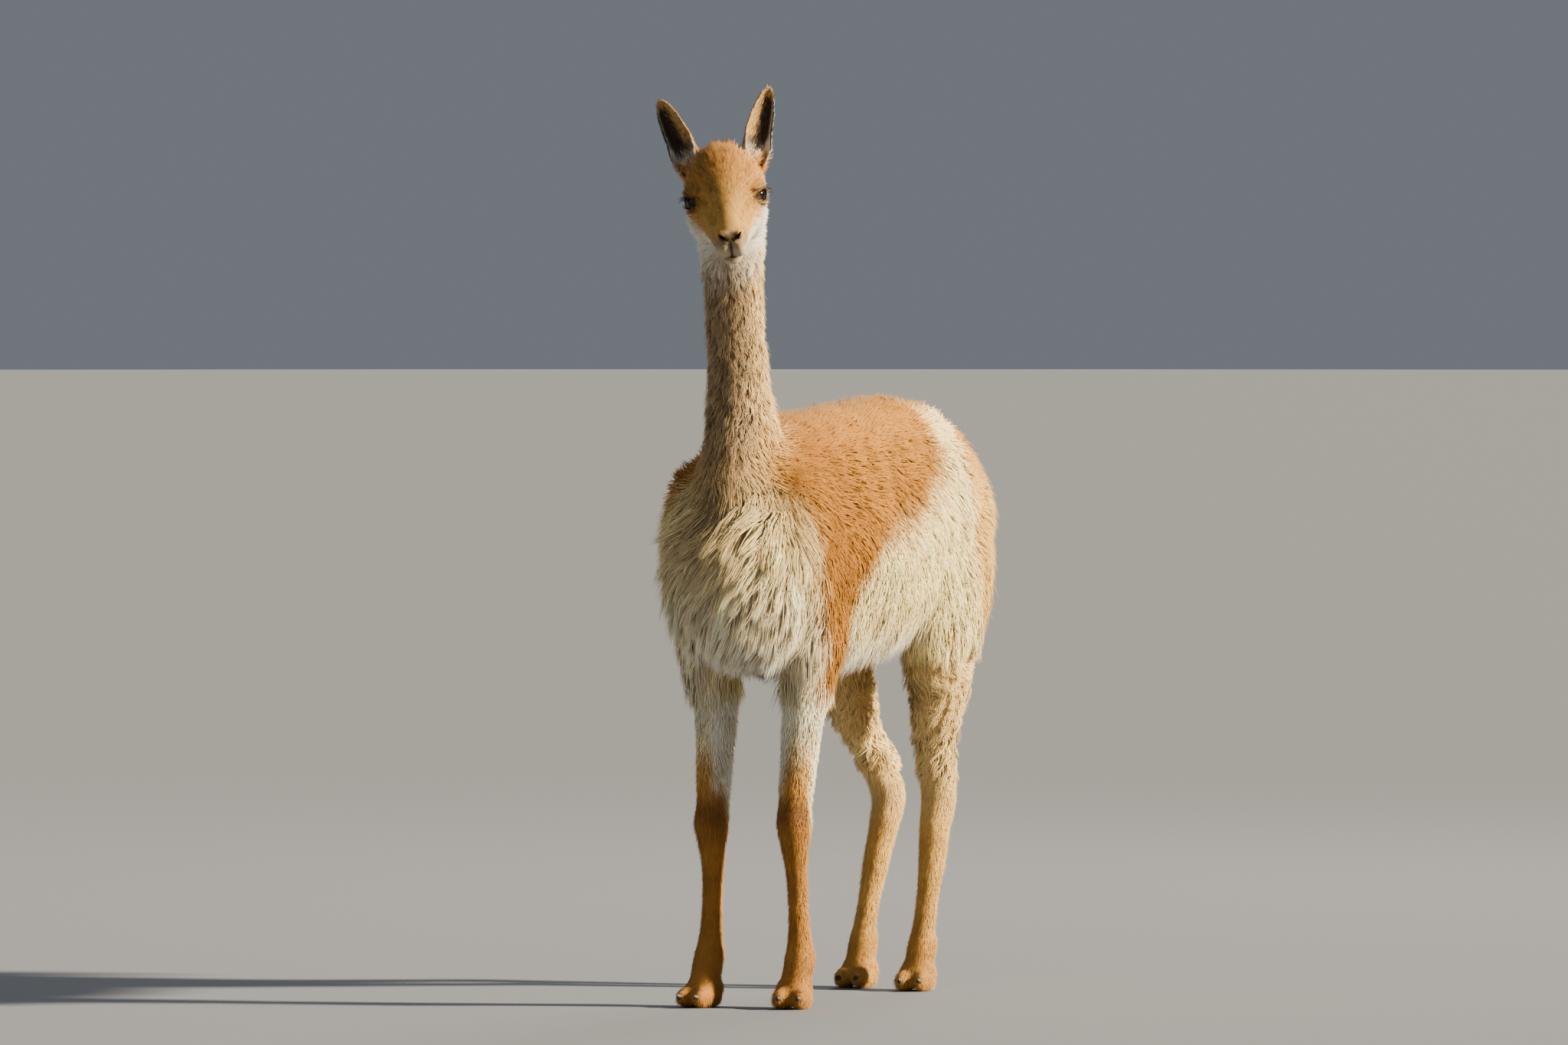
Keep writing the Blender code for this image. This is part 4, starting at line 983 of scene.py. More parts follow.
def coat_colour(points, normals):
    """The coat's colour at each point, with painted shade round the eyes and on the shaded side of the face.
    """
    m = points - AT
    own = placed(m, to_head)
    places = find_places(points, normals)
    m = m + wander(points, 0.03, 9) * (0.008 * (1 - places["head"]) * (1 - places["leg"]))[:, None]
    side, (x, y, z) = np.sign(m[:, 0]), m.T
    x = np.abs(x)
    facing = normals @ np.array(to_body.to_3x3())
    up, away, aside, _, opening = ear_measures(own)
    inside = np.sum(facing * opening, axis=1)
    ear_hollow = places["head"] * smooth_step(up, -0.02, 0.10) * (1 - smooth_step(away, 0.028, 0.036))
    trunk = (1 - places["neck"]) * (1 - places["head"])

    flank = smooth_step(np.interp(y, *FLANK_EDGE) - z, -0.025, 0.035) * smooth_step(x, 0.025, 0.06) * trunk
    band = np.exp(-(((y + 0.20) / 0.11) ** 2)) * smooth_step(z, 0.46, 0.60) * trunk
    band = np.maximum(band, 0.6 * trunk * (1 - smooth_step(z, 0.79, 0.83)))
    band *= smooth_step(x + 2 * np.maximum(0, z - 0.55), 0.04, 0.09)
    rump = smooth_step(y - np.interp(z, *RUMP_EDGE), -0.01, 0.03) * trunk
    bib = smooth_step(np.interp(z, *BIB_EDGE) - y, -0.025, 0.025) * trunk
    tongue = np.exp(-((x / 0.045) ** 2)) * smooth_step(z, 0.58, 0.74)
    throat = places["neck"] * smooth_step(z - 0.30 * (y + 0.35), 1.03, 1.09) * smooth_step(-y, 0.285, 0.315)
    foreleg = places["leg"] * (y < 0)
    hindleg = places["leg"] * (y > 0)
    leg_front = smooth_step(-normals[:, 1], -0.2, 0.5)
    leg_inner = smooth_step(-normals[:, 0] * side, 0.0, 0.6)
    # On the animal's right, the side in shade, the brown under the eye reaches lower: painted shade on that
    # side.
    brow_line = -0.018 + 0.25 * np.clip(own[:, 1] + 0.03, -0.06, 0.10) + 0.004 * np.sign(own[:, 0])
    cheek = places["head"] * smooth_step(brow_line - own[:, 2], -0.006, 0.018)
    before_nape = 1 - smooth_step(own[:, 1], 0.045, 0.072)
    cheek *= smooth_step(np.abs(own[:, 0]), 0.010, 0.026) * (1 - places["ear"]) * before_nape
    jaw = places["head"] * smooth_step(-own[:, 2], 0.034, 0.050) * before_nape
    eye_shade, nose, lips = np.zeros(len(m)), np.zeros(len(m)), np.zeros(len(m))
    # eye_shade is painted shade round each eye, deepest under the brow and at the inner corner, together with
    # the dark hair of the lids.
    for hand in (-1, 1):
        eye = placed(own, eye_frame(hand).inverted())
        shade = np.exp(-((eye[:, 0] / 0.020) ** 2) - ((eye[:, 1] - 0.002) / 0.014) ** 2)
        eye_shade = np.maximum(eye_shade, shade * smooth_step(eye[:, 2], 0.0, 0.008))
        nose = np.maximum(nose, 1 - smooth_step(distance(own, mirrored(NOSTRIL_AT, hand)), 0.0045, 0.0095))
        lips = np.maximum(lips, 1 - smooth_step(distance(own, mirrored(LIP_AT, hand)), 0.007, 0.014))
    split = 1 - smooth_step(np.abs(own[:, 0]), 0.0008, 0.0022)
    split *= smooth_step(own[:, 2], MOUTH_HEIGHT, -0.037)
    split *= (1 - smooth_step(own[:, 2], -0.018, -0.012)) * smooth_step(-own[:, 1], 0.085, 0.09)
    mouth = 1 - smooth_step(distance_to_line(own, folds["mouth"]), 0.0030, 0.0066)
    nose_top = np.exp(-((distance(own, NOSE_TOP) / 0.006) ** 2))
    gold = ear_hollow * smooth_step(inside, 0.0, 0.3) * smooth_step(-aside, -0.002, 0.006)

    # Each layer is a colour and its share at every point, laid over the ones before it.
    layers = (
        (CREAM, trunk * (1 - smooth_step(x + 2 * np.maximum(0, z - 0.52), 0.04, 0.08))),
        (SADDLE, 0.7 * band),
        (CREAM, flank),
        (TAN, 0.92 * rump * (1 - places["tail"])),
        (FAWN, rump * smooth_step(z, 0.74, 0.80)),
        (CREAM, bib),
        (WHITE, bib * (1 - smooth_step(z, 0.55, 0.72)) * 0.6),
        (NECK_BROWN, bib * tongue * 0.9),
        (WHITE, places["belly"] * smooth_step(-normals[:, 2], 0.3, 0.8)),
        (CREAM, places["leg"]),
        (WHITE, foreleg * np.maximum(leg_inner, 0.6) * smooth_step(z, 0.26, 0.34)),
        (TAN, foreleg * leg_front * (1 - smooth_step(z, 0.33, 0.42)) * (1 - leg_inner)),
        (RUST, foreleg * (1 - smooth_step(z - 0.05 * leg_front, 0.24, 0.31))),
        (KNEE_BROWN, foreleg * leg_front * np.exp(-(((z - KNEE - 0.012) / 0.022) ** 2)) * 0.7),
        (TAN, hindleg * leg_front * (1 - smooth_step(z, 0.20, 0.30))),
        (TAN, hindleg * (0.45 + 0.50 * (1 - smooth_step(z, 0.14, 0.36)))),
        (RUST, hindleg * (1 - smooth_step(z, 0.04, 0.17)) * 0.60),
        (WHITE, places["tail"] * smooth_step(-normals[:, 1], 0.0, 0.5)),
        (NECK_SIDE, places["neck"]),
        (NECK_BROWN, places["neck"] * smooth_step(-normals[:, 1], 0.1, 0.7)),
        (WHITE, throat),
        (FOREHEAD, places["head"]),
        (BRIDGE, places["face"]),
        (WHITE, cheek),
        (WHITE, jaw),
        (MUZZLE, places["muzzle"] * (1 - smooth_step(own[:, 2], -0.014, 0.000))),
        (LIPS, places["muzzle"] * lips * 0.85),
        (LIPS, 0.8 * places["face"] * nose_top),
        (LIPS, places["muzzle"] * smooth_step(-own[:, 2], 0.046, 0.054)),
        (NOSE_DARK, places["muzzle"] * np.maximum(0.75 * nose, np.maximum(split, mouth))),
        # Painted shade round the eyes, partly the dark hair of the lids.
        (EAR_DARK_AND_EYE_SHADE, 0.85 * eye_shade * places["head"] * (1 - places["ear"])),
        (FOREHEAD, places["ear"]),
        (WHITE, ear_hollow * smooth_step(inside, 0.05, 0.35)),
        (EAR_DARK_AND_EYE_SHADE, ear_hollow * smooth_step(inside, 0.45, 0.70) * smooth_step(up, 0.02, 0.22)),
        (EAR_GOLD, gold * smooth_step(up, 0.1, 0.4)),
        (EAR_GOLD, places["ear"] * smooth_step(up, 0.84, 0.95)),
        (LEATHER, places["head"] * bare_skin(own)),
    )
    tint = np.tile(np.array(FAWN), (len(m), 1))
    for colour, mask in layers:
        tint += (np.array(colour) - tint) * mask[:, None]
    mottle = MOTTLE * (0.6 + 0.6 * places["leg"]) * (1 - 0.7 * places["head"])
    return tint * (1 + mottle * wander(points, MOTTLE_SIZE, 12)[:, 0])[:, None]


# %% [markdown]
# ## How the coat lies
# Hair on a camelid runs back along the spine, down the flanks and legs, down the neck, and away from the
# nose over the face. The bib sweeps across the chest. A slow, seeded wave turns neighbours together, so
# the wool looks worn and not combed by a machine.


# %% The lie of the hair
def blended(flow, other, share):
    return flow + (np.array(other) - flow) * share[:, None]


def find_lie(points, normals, places):
    """The direction, along the skin, in which each tuft lies."""
    m = points - AT
    x, y, z = m.T
    flow = np.zeros((len(m), 3))
    flow[:, 1] = 0.7 - 1.0 * (1 - smooth_step(z, 0.56, 0.74))
    flow[:, 2] = -1.0 + 0.85 * smooth_step(normals[:, 2], 0.3, 0.9)
    flow = blended(flow, (0, 0.15, -1), places["rump"])
    sweep = 0.30 + 0.85 * np.exp(-(((z - 0.66) / 0.07) ** 2))
    sweep *= 1 - smooth_step(x, 0.02, 0.11)
    bib = np.stack([-sweep, 0 * x, 0 * x - 1], axis=1)
    flow = blended(flow, bib, places["bib"])
    flow = blended(flow, (0, 0.12, -1), places["leg"])
    flow = blended(flow, (0, 0, -1), places["shank"])
    flow = blended(flow, (0, 0, -1), places["tail"])
    flow = blended(flow, (-0.12, 0, -1), places["neck"])
    fall = np.stack([x, y + 0.30, 0 * x], axis=1)
    fall *= 0.8 / np.maximum(1e-6, np.linalg.norm(fall, axis=1))[:, None]
    collar = smooth_step(z, 0.70, 0.76) * (1 - smooth_step(z, 0.86, 0.90))
    collar *= 1 - smooth_step(y, -0.22, -0.08)
    flow += fall * (collar * (1 - places["bib"]))[:, None]
    own = placed(m, to_head)
    side = np.sign(own[:, 0])
    away = own - np.array((0, -0.115, -0.020))
    away /= np.linalg.norm(away, axis=1)[:, None]
    cheek = np.stack([0.2 * side, 0.8 + 0 * x, -0.55 + 0 * x], axis=1)
    away = blended(away, cheek, smooth_step(-own[:, 2], 0.0, 0.03))
    _, _, _, along, _ = ear_measures(own)
    away = blended(away, along, places["ear"])
    flow = blended(flow, away @ np.array(to_body.to_3x3()).T, places["head"])
    swirl = 0.34 - 0.24 * places["head"] - 0.24 * places["shank"]
    swirl = swirl - 0.18 * places["neck"] + 0.5 * places["curly"]
    flow += wander(points, 0.035, 2) * np.maximum(0.06, swirl)[:, None]
    flow -= np.sum(flow * normals, axis=1)[:, None] * normals
    return flow / np.maximum(1e-6, np.linalg.norm(flow, axis=1))[:, None]


# %% [markdown]
# ## Roots
# Tufts start at points spread over the skin's triangles. Each triangle gets as many as its area and its
# kind of hair ask for. Stepping evenly through the running total, with a little random shift, spreads
# them better than pure chance does.


# %% Spread the roots
def corner_arrays(data):
    """The vertex at each corner of each face, and the corner's place on the flat layout."""
    vertex = np.empty(len(data.loops), np.int32)
    data.loops.foreach_get("vertex_index", vertex)
    flat = np.empty(len(data.loops) * 2, np.float32)
    data.uv_layers["OFBake"].data.foreach_get("uv", flat)
    return vertex, flat.reshape(-1, 2)


def skin_arrays(data):
    """The skin's triangles: their corners, the normals there, and the corners on the flat layout."""
    vertex, flat = corner_arrays(data)
    corner = vertex.reshape(-1, 3)
    return vertex_array(data)[corner], vertex_array(data, "normal")[corner], flat.reshape(-1, 3, 2)


def find_roots(data, seed):
    """Points, normals and layout places of all tufts."""
    corners, normals, flat = skin_arrays(data)
    middle = corners.mean(1)
    facing = np.cross(corners[:, 1] - corners[:, 0], corners[:, 2] - corners[:, 0])
    area = np.linalg.norm(facing, axis=1) / 2
    unit = facing / np.maximum(1e-12, 2 * area)[:, None]
    places = find_places(middle, unit)
    density = hair_values(places)[5] * (1 - bare_skin(placed(middle - AT, to_head)) * places["head"])
    total = np.cumsum(area * density)
    count = int(total[-1])
    draw = np.random.default_rng(seed)
    picks = (np.arange(count) + draw.uniform(0, 1, count)) * total[-1] / count
    chosen = np.minimum(np.searchsorted(total, picks), len(total) - 1)
    a, b = np.sqrt(draw.uniform(0, 1, count)), draw.uniform(0, 1, count)
    weight = np.stack([1 - a, a * (1 - b), a * b], axis=1)[:, :, None]
    spots = (corners[chosen] * weight).sum(1)
    normal = (normals[chosen] * weight).sum(1)
    normal /= np.linalg.norm(normal, axis=1)[:, None]
    return spots, normal, (flat[chosen] * weight).sum(1)


roots, root_normals, root_flat = find_roots(skin.data, seed=5)
root_places = find_places(roots, root_normals)
print("tufts:", len(roots))

# %% [markdown]
# ## Tufts
# A tuft is a thin, tapered lock with three sides: enough to catch light all round, and few faces. Tufts
# near one another lean towards the same tip, as wool does when it clings, and dip and curl on the way.
# Their normals are bent towards the skin's, which gives the soft shade of wool and not the glitter of
# tiny blades.

# %% Grow and mesh the tufts
SECTION = np.array(((-1.0, -0.35), (1.0, -0.35), (0.0, 0.75)))
PATCH = 0.003
THICK = 0.50
SOFTNESS = 0.42
FLOOR_CLEAR = 0.0006
HANG = {"bib": 0.22, "belly": 0.24, "tail": 0.25, "rump": 0.16}
# How much tufts of one kind differ: shares of length, width and lift.
LENGTHS = (0.72, 1.15)
WIDTHS = (0.75, 1.2)
LIFTS = 0.30


def nearest(points, spots):
    """For each spot, the number of the point nearest to it."""
    tree = KDTree(len(points))
    for i, point in enumerate(points):
        tree.insert(point, i)
    tree.balance()
    return np.array([tree.find(spot)[1] for spot in spots])


def clump_centres(points, share, draw):
    """For each tuft, the tuft that leads its clump."""
    leaders = np.flatnonzero(draw.uniform(0, 1, len(points)) < share)
    return leaders[nearest(points[leaders], points)]


def tuft_paths(spots, normals, places, rings, share, draw):
    """The middle line of each tuft from root to tip, and its width along the way."""
    length, width, lift, clumping, curl, _ = hair_values(places)
    count = len(spots)
    length = length * draw.uniform(*LENGTHS, count) * (1 + 0.16 * wander(spots, 0.018, 21)[:, 0])
    width = width * draw.uniform(*WIDTHS, count)
    lift = np.clip(lift * draw.normal(1, LIFTS, count), 0.05, 0.95)
    flow = find_lie(spots, normals, places)
    flow += draw.normal(0, 1, (count, 3)) * (0.10 + 0.22 * places["crown"])[:, None]
    hang = sum(amount * places[kind] for kind, amount in HANG.items())
    leader = clump_centres(spots, share, draw)
    phase = draw.uniform(0, 2 * math.pi, count)[leader]
    across = np.cross(flow, normals)
    own = []
    for s in np.linspace(0, 1, rings + 1):
        rise = lift * (s - 0.42 * s**2)
        path = spots + length[:, None] * (flow * s * np.sqrt(1 - lift**2)[:, None] + normals * rise[:, None])
        path[:, 2] -= length * hang * s**2
        own.append(path)
    paths = []
    for s, path in zip(np.linspace(0, 1, rings + 1), own):
        pull = clumping * s**1.2 * 0.85
        path = path + (path[leader] - path) * pull[:, None]
        wave = phase + 5.5 * s
        path = path + across * (curl * s**0.7 * np.sin(wave))[:, None]
        path = path + normals * (curl * s**0.7 * 0.6 * np.cos(wave))[:, None]
        paths.append(path)
    paths[0] = spots - normals * (0.10 * width + 0.0003)[:, None]
    paths = np.stack(paths, axis=1)
    paths[:, :, 2] = np.maximum(paths[:, :, 2], FLOOR_CLEAR)
    steps = np.linspace(0, 1, rings + 1)[:-1]
    widths = width[:, None] * (0.85 + 0.45 * steps) * (1 - steps**1.7)
    return paths, widths, leader


def paint(data, tints):
    """Stores a colour for each point of a mesh."""
    rgba = np.ones((len(data.vertices), 4), np.float32)
    rgba[:, :3] = tints.reshape(-1, 3)
    layer = data.attributes.new("coat", "FLOAT_COLOR", "POINT")
    layer.data.foreach_set("color", rgba.ravel())


def tuft_mesh(name, paths, widths, normals, tints, flat):
    """One mesh of many closed tufts, with colours, soft normals and a place for each on the flat layout."""
    count, rings = widths.shape
    ahead = np.diff(paths, axis=1)
    ahead = np.concatenate([ahead[:, :1], ahead[:, :-1] + ahead[:, 1:]], axis=1)
    ahead /= np.maximum(1e-9, np.linalg.norm(ahead, axis=2))[:, :, None]
    across = np.cross(ahead, normals[:, None, :])
    across /= np.maximum(1e-9, np.linalg.norm(across, axis=2))[:, :, None]
    up = np.cross(across, ahead)
    half = widths[:, :, None, None] / 2
    ray = across[:, :, None, :] * SECTION[:, :1] + up[:, :, None, :] * SECTION[:, 1:] * THICK
    ring = paths[:, :rings, None, :] + ray * half
    points = np.concatenate([ring.reshape(count, -1, 3), paths[:, -1:, :]], axis=1)
    soft = ray / np.linalg.norm(ray, axis=3)[:, :, :, None] * SOFTNESS + normals[:, None, None, :]
    soft = np.concatenate([soft.reshape(count, -1, 3), normals[:, None, :]], axis=1)
    soft /= np.linalg.norm(soft, axis=2)[:, :, None]
    per = rings * 3 + 1

    faces, spots = [], []
    for j in range(rings - 1):
        for k in range(3):
            n = (k + 1) % 3
            faces.append((3 * j + n, 3 * j + k, 3 * j + 3 + k, 3 * j + 3 + n))
            spots.append(((k + 1, j), (k, j), (k, j + 1), (k + 1, j + 1)))
    for k in range(3):
        faces.append((3 * rings - 3 + (k + 1) % 3, 3 * rings - 3 + k, per - 1))
        spots.append(((k + 1, rings - 1), (k, rings - 1), (k + 0.5, rings)))
    faces.append((0, 1, 2))
    spots.append(((0, 0), (1, 0), (2, 0)))
    loops = np.array([v for face in faces for v in face])
    sizes = np.array([len(face) for face in faces])
    uv = np.array([s for face in spots for s in face], float) / (3, rings) - 0.5

    data = bpy.data.meshes.new(name)
    data.vertices.add(count * per)
    data.vertices.foreach_set("co", points.astype(np.float32).ravel())
    data.loops.add(count * len(loops))
    corners = loops + np.arange(count)[:, None] * per
    data.loops.foreach_set("vertex_index", corners.ravel().astype(np.int32))
    data.polygons.add(count * len(sizes))
    starts = np.concatenate([[0], np.cumsum(sizes)[:-1]]) + np.arange(count)[:, None] * len(loops)
    data.polygons.foreach_set("loop_start", starts.ravel().astype(np.int32))
    data.polygons.foreach_set("loop_total", np.tile(sizes, count).astype(np.int32))
    data.update(calc_edges=True)
    layer = data.uv_layers.new(name="OFBake")
    layer.data.foreach_set("uv", (flat[:, None, :] + uv * PATCH).astype(np.float32).ravel())
    paint(data, tints)
    shade_smooth(data)
    data.normals_split_custom_set_from_vertices(soft.reshape(-1, 3))
    return linked(name, data)


# %% [markdown]
# ## Finishes of coat and skin
# Hair reflects little and glows softly at its edge, which sheen does. The colour comes from the attribute
# that the markings painted, and a fine noise in the object's own coordinates varies it from strand to
# strand.


# %% Materials
def blank_material(name):
    """A Principled material and its tree's nodes, links and shader."""
    made = bpy.data.materials.new(name)
    made.use_nodes = True
    tree = made.node_tree
    return made, tree, tree.nodes["Principled BSDF"]


def set_sockets(node, values):
    """Sets a node's sockets by their names."""
    for name, value in values.items():
        node.inputs[name].default_value = value


def object_noise(tree, fineness, detail):
    """A noise in the object's own coordinates."""
    place = tree.nodes.new("ShaderNodeTexCoord")
    noise = tree.nodes.new("ShaderNodeTexNoise")
    set_sockets(noise, {"Scale": fineness, "Detail": detail})
    tree.links.new(place.outputs["Object"], noise.inputs["Vector"])
    return noise


def painted_material(name, fineness, spread, roughness, sheen, bump=0.0):
    """A finish whose colour is the painted attribute, varied by a fine noise."""
    made, tree, shader = blank_material(name)
    colour = tree.nodes.new("ShaderNodeAttribute")
    colour.attribute_name = "coat"
    noise = object_noise(tree, fineness, detail=3)
    vary = tree.nodes.new("ShaderNodeMapRange")
    set_sockets(vary, {"To Min": 1 - spread, "To Max": 1 + spread})
    mix = tree.nodes.new("ShaderNodeVectorMath")
    mix.operation = "SCALE"
    tree.links.new(noise.outputs["Fac"], vary.inputs["Value"])
    tree.links.new(colour.outputs["Color"], mix.inputs[0])
    tree.links.new(vary.outputs["Result"], mix.inputs["Scale"])
    tree.links.new(mix.outputs["Vector"], shader.inputs["Base Color"])
    set_sockets(shader, {"Roughness": roughness, "Specular IOR Level": 0.15, "Sheen Weight": sheen})
    set_sockets(shader, {"Sheen Roughness": 0.45, "Sheen Tint": (1.0, 0.93, 0.82, 1)})
    if bump:
        height = tree.nodes.new("ShaderNodeBump")
        set_sockets(height, {"Strength": bump, "Distance": 0.0006})
        tree.links.new(noise.outputs["Fac"], height.inputs["Height"])
        tree.links.new(height.outputs["Normal"], shader.inputs["Normal"])
    return made


wool = painted_material("wool", fineness=420, spread=0.20, roughness=0.80, sheen=0.12)
hide = painted_material("hide", fineness=900, spread=0.22, roughness=0.75, sheen=0.05, bump=0.7)
print("finishes:", wool.name, hide.name)


# %% [markdown]
# ## The coat
# The tufts are shared out by place, so that each piece is a part of the coat that a maker would name, and
# stays small enough to handle. Long hair gets more rings to bend with, short hair fewer.

# %% Grow the coat
TOP_OF_PIECE = 196000
# Piece: rings, and the share of tufts that lead a clump.
PIECES = {
    "coat_ears": (1, 0.20),
    "coat_head": (1, 0.09),
    "coat_neck": (2, 0.065),
    "coat_bib": (3, 0.045),
    "coat_tail": (3, 0.10),
    "coat_back": (2, 0.10),
    "coat_flank_left": (2, 0.10),
    "coat_flank_right": (2, 0.10),
    "coat_thighs": (3, 0.055),
    "coat_forelegs": (2, 0.13),
    "coat_shanks": (1, 0.15),
}


# A tuft belongs to the first of these places that it lies in, and otherwise to a flank.
OWNERS = {
    "ear": "coat_ears",
    "head": "coat_head",
    "neck": "coat_neck",
    "tail": "coat_tail",
    "shank": "coat_shanks",
    "curly": "coat_thighs",
    "leg": "coat_forelegs",
    "bib": "coat_bib",
    "back": "coat_back",
}


def share_out(points, places):
    """The name of the coat piece that each tuft belongs to."""
    rules = [places[place] > 0.5 for place in OWNERS]
    left = points[:, 0] > AT[0]
    return np.select([*rules, left], [*OWNERS.values(), "coat_flank_left"], "coat_flank_right")


def tuft_tints(spots, normals, places, leader, rings, draw):
    """Each tuft's colours, from a light tip to a root that is darker and browner: painted shade deep in the
    coat.
    """
    loose = 1 - 0.85 * places["face"] - 0.5 * places["ear"]
    stray = spots + draw.normal(0, 0.007, spots.shape) * loose[:, None]
    tint = coat_colour(stray, normals)
    shaggy = np.clip(places["bib"] + places["neck"], 0, 1)
    uneven = 0.07 + 0.12 * shaggy + 0.09 * places["head"] + 0.16 * places["ear"]
    clump = 1 + draw.normal(0, 1, len(spots))[leader] * uneven
    tint = tint * (clump * draw.normal(1, 0.08, len(spots)))[:, None]
    # Roots are darker and browner than tips: painted shade deep in the coat, deepest in the long locks of the
    # bib and neck.
    root = (0.96 - 0.48 * shaggy + 0.14 * places["neck"] - 0.22 * places["head"])[:, None]
    along = root + (1.10 - root) * np.repeat(np.linspace(0, 1, rings + 1), 3)[None, : rings * 3 + 1]
    warm = np.array((1.0, 0.93, 0.80)) ** (1 - along)[:, :, None]
    return np.clip(tint[:, None, :] * along[:, :, None] * warm, 0.003, 0.92)


def grow_piece(name, chosen, rings, share, seed):
    """One piece of the coat, from the roots that belong to it."""
    draw = np.random.default_rng(seed)
    spots, normals = roots[chosen], root_normals[chosen]
    places = {kind: value[chosen] for kind, value in root_places.items()}
    paths, widths, leader = tuft_paths(spots, normals, places, rings, share, draw)
    tints = tuft_tints(spots, normals, places, leader, rings, draw)
    obj = tuft_mesh(name, paths, widths, normals, tints, root_flat[chosen])
    obj.data.materials.append(wool)
    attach(obj, "root")
    return obj


owners = share_out(roots, root_places)
coat_total = 0
for number, (name, (rings, share)) in enumerate(PIECES.items()):
    chosen = np.flatnonzero(owners == name)
    faces = 6 * (rings - 1) + 4
    parts = max(1, math.ceil(len(chosen) * faces / TOP_OF_PIECE))
    order = chosen[np.argsort(roots[chosen][:, 2])]
    for part, some in enumerate(np.array_split(order, parts)):
        piece = name if parts == 1 else f"{name}_{part + 1}"
        grow_piece(piece, some, rings, share, seed=100 + 10 * number + part)
    coat_total += len(chosen) * faces
    print(name, "tufts:", len(chosen), "triangles:", len(chosen) * faces, "pieces:", parts)
print("coat:", coat_total, "triangles")

# %% [markdown]
# ## The skin's own colour
# Between tufts the skin shows through. So it carries the same markings, a little darker as painted shade
# under the hair. Lid rims, nostrils and the line of the mouth have no hair and show dark leather.


# %% Paint the skin and let it stand for the imported flesh
# The skin is a little darker than the hair over it: painted shade under the tufts.
SKIN_PAINTED_SHADE = 0.92
skin_points = vertex_array(skin.data)
paint(skin.data, coat_colour(skin_points, vertex_array(skin.data, "normal")) * SKIN_PAINTED_SHADE)
skin.data.materials.clear()
skin.data.materials.append(hide)
skin.data.polygons.foreach_set("material_index", np.zeros(len(skin.data.polygons), np.int32))
FLESH = ["head", "neck", "torso", "tail", "ear_left", "ear_right"]
FLESH += [f"{leg}_{part}" for leg in STANCE for part in ("upper", "shank", "foot")]
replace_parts(skin, *FLESH)
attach(skin, "root")
print("the skin stands for", len(FLESH), "nodes")

# %% [markdown]
# ## Eyes
# A vicuna's eye is large and almost black, with a wide, level pupil. The ball bulges a little where the
# cornea is, and a clear coat over a dark iris gives the wet glint.

# %% Build the eyes
IRIS = (0.0070, 0.0040, 0.0028)
PUPIL = (0.0008, 0.0008, 0.0010)
EYE_RIM = (0.0030, 0.0020, 0.0016)
CORNEA_BULGE = 0.0010


def eye_tints(points):
    """Colours of an eyeball from its own frame: pupil, iris, and the dark rim round it."""
    x, y = points[:, 0] / EYE_RADIUS, points[:, 1] / EYE_RADIUS
    away = np.hypot(x, y)
    streaks = 0.85 + 0.3 * np.sin(np.arctan2(y, x) * 41) * np.sin(np.arctan2(y, x) * 17)
    tint = np.array(IRIS) * streaks[:, None]
    tint += (np.array(EYE_RIM) - tint) * smooth_step(away, 0.62, 0.78)[:, None]
    pupil = np.hypot(x / 0.42, y / 0.24)
    return tint + (np.array(PUPIL) - tint) * (1 - smooth_step(pupil, 0.8, 1.05))[:, None]


def eye_place(side):
    """From an eye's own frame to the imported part's."""
    return Matrix.Translation(AT) @ to_body @ eye_frame(side)


def build_eye(name, side):
    """One eyeball, its cornea bulging out where it looks."""
    mesh = bmesh.new()
    bmesh.ops.create_uvsphere(mesh, u_segments=96, v_segments=72, radius=EYE_RADIUS)
    obj = new_object(name, mesh)
    points = vertex_array(obj.data)
    angle = np.arccos(np.clip(points[:, 2] / EYE_RADIUS, -1, 1))
    points *= (1 + CORNEA_BULGE / EYE_RADIUS * np.exp(-((angle / 0.45) ** 2)))[:, None]
    move_vertices(obj.data, points)
    paint(obj.data, eye_tints(points))
    obj.data.transform(eye_place(side))
    shade_smooth(obj.data)
    obj.data.materials.append(wet)
    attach(obj, "root")
    return obj


wet = painted_material("wet_eye", fineness=700, spread=0.05, roughness=0.12, sheen=0.0)
gloss = {"Specular IOR Level": 0.1, "Coat Weight": 0.75, "Coat Roughness": 0.02, "Coat IOR": 1.30}
set_sockets(wet.node_tree.nodes["Principled BSDF"], gloss)
for name, side in (("eye_left", 1), ("eye_right", -1)):
    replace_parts(build_eye(f"{name}_ball", side), name)
print("eyes:", EYE_RADIUS * 2)

# %% [markdown]
# ## Lashes
# Camelids have long, stiff upper lashes that shade the eye, and a few thin ones below. Each one grows
# from the rim of a lid, leaves it square, and bends down.


# %% Grow the lashes
def lid_rim(turn):
    """The point on the outer rim of the lids at a turn round the eye's opening."""
    near, far = np.array(LID_OPENING)
    best, found = 1.0, None
    for share in np.linspace(0, 1, 90):
        spot = lid_point(turn, *(near + (far - near) * share))
        miss = abs(spot.length - (EYE_RADIUS + LID - 0.0006))
        if miss < best:
            best, found = miss, spot
    return found


LASHES = 46
LASH_RINGS = 6
LASH_WIDTH = 0.0008
# On each lid: share of the lashes, first turn, turns spanned, lengths, lean outward, sag.
UPPER_LID = (0.68, 12, 156, (0.0095, 0.0140), 0.55, 0.55)
LOWER_LID = (0.32, 205, 130, (0.004, 0.007), 0.70, 0.15)


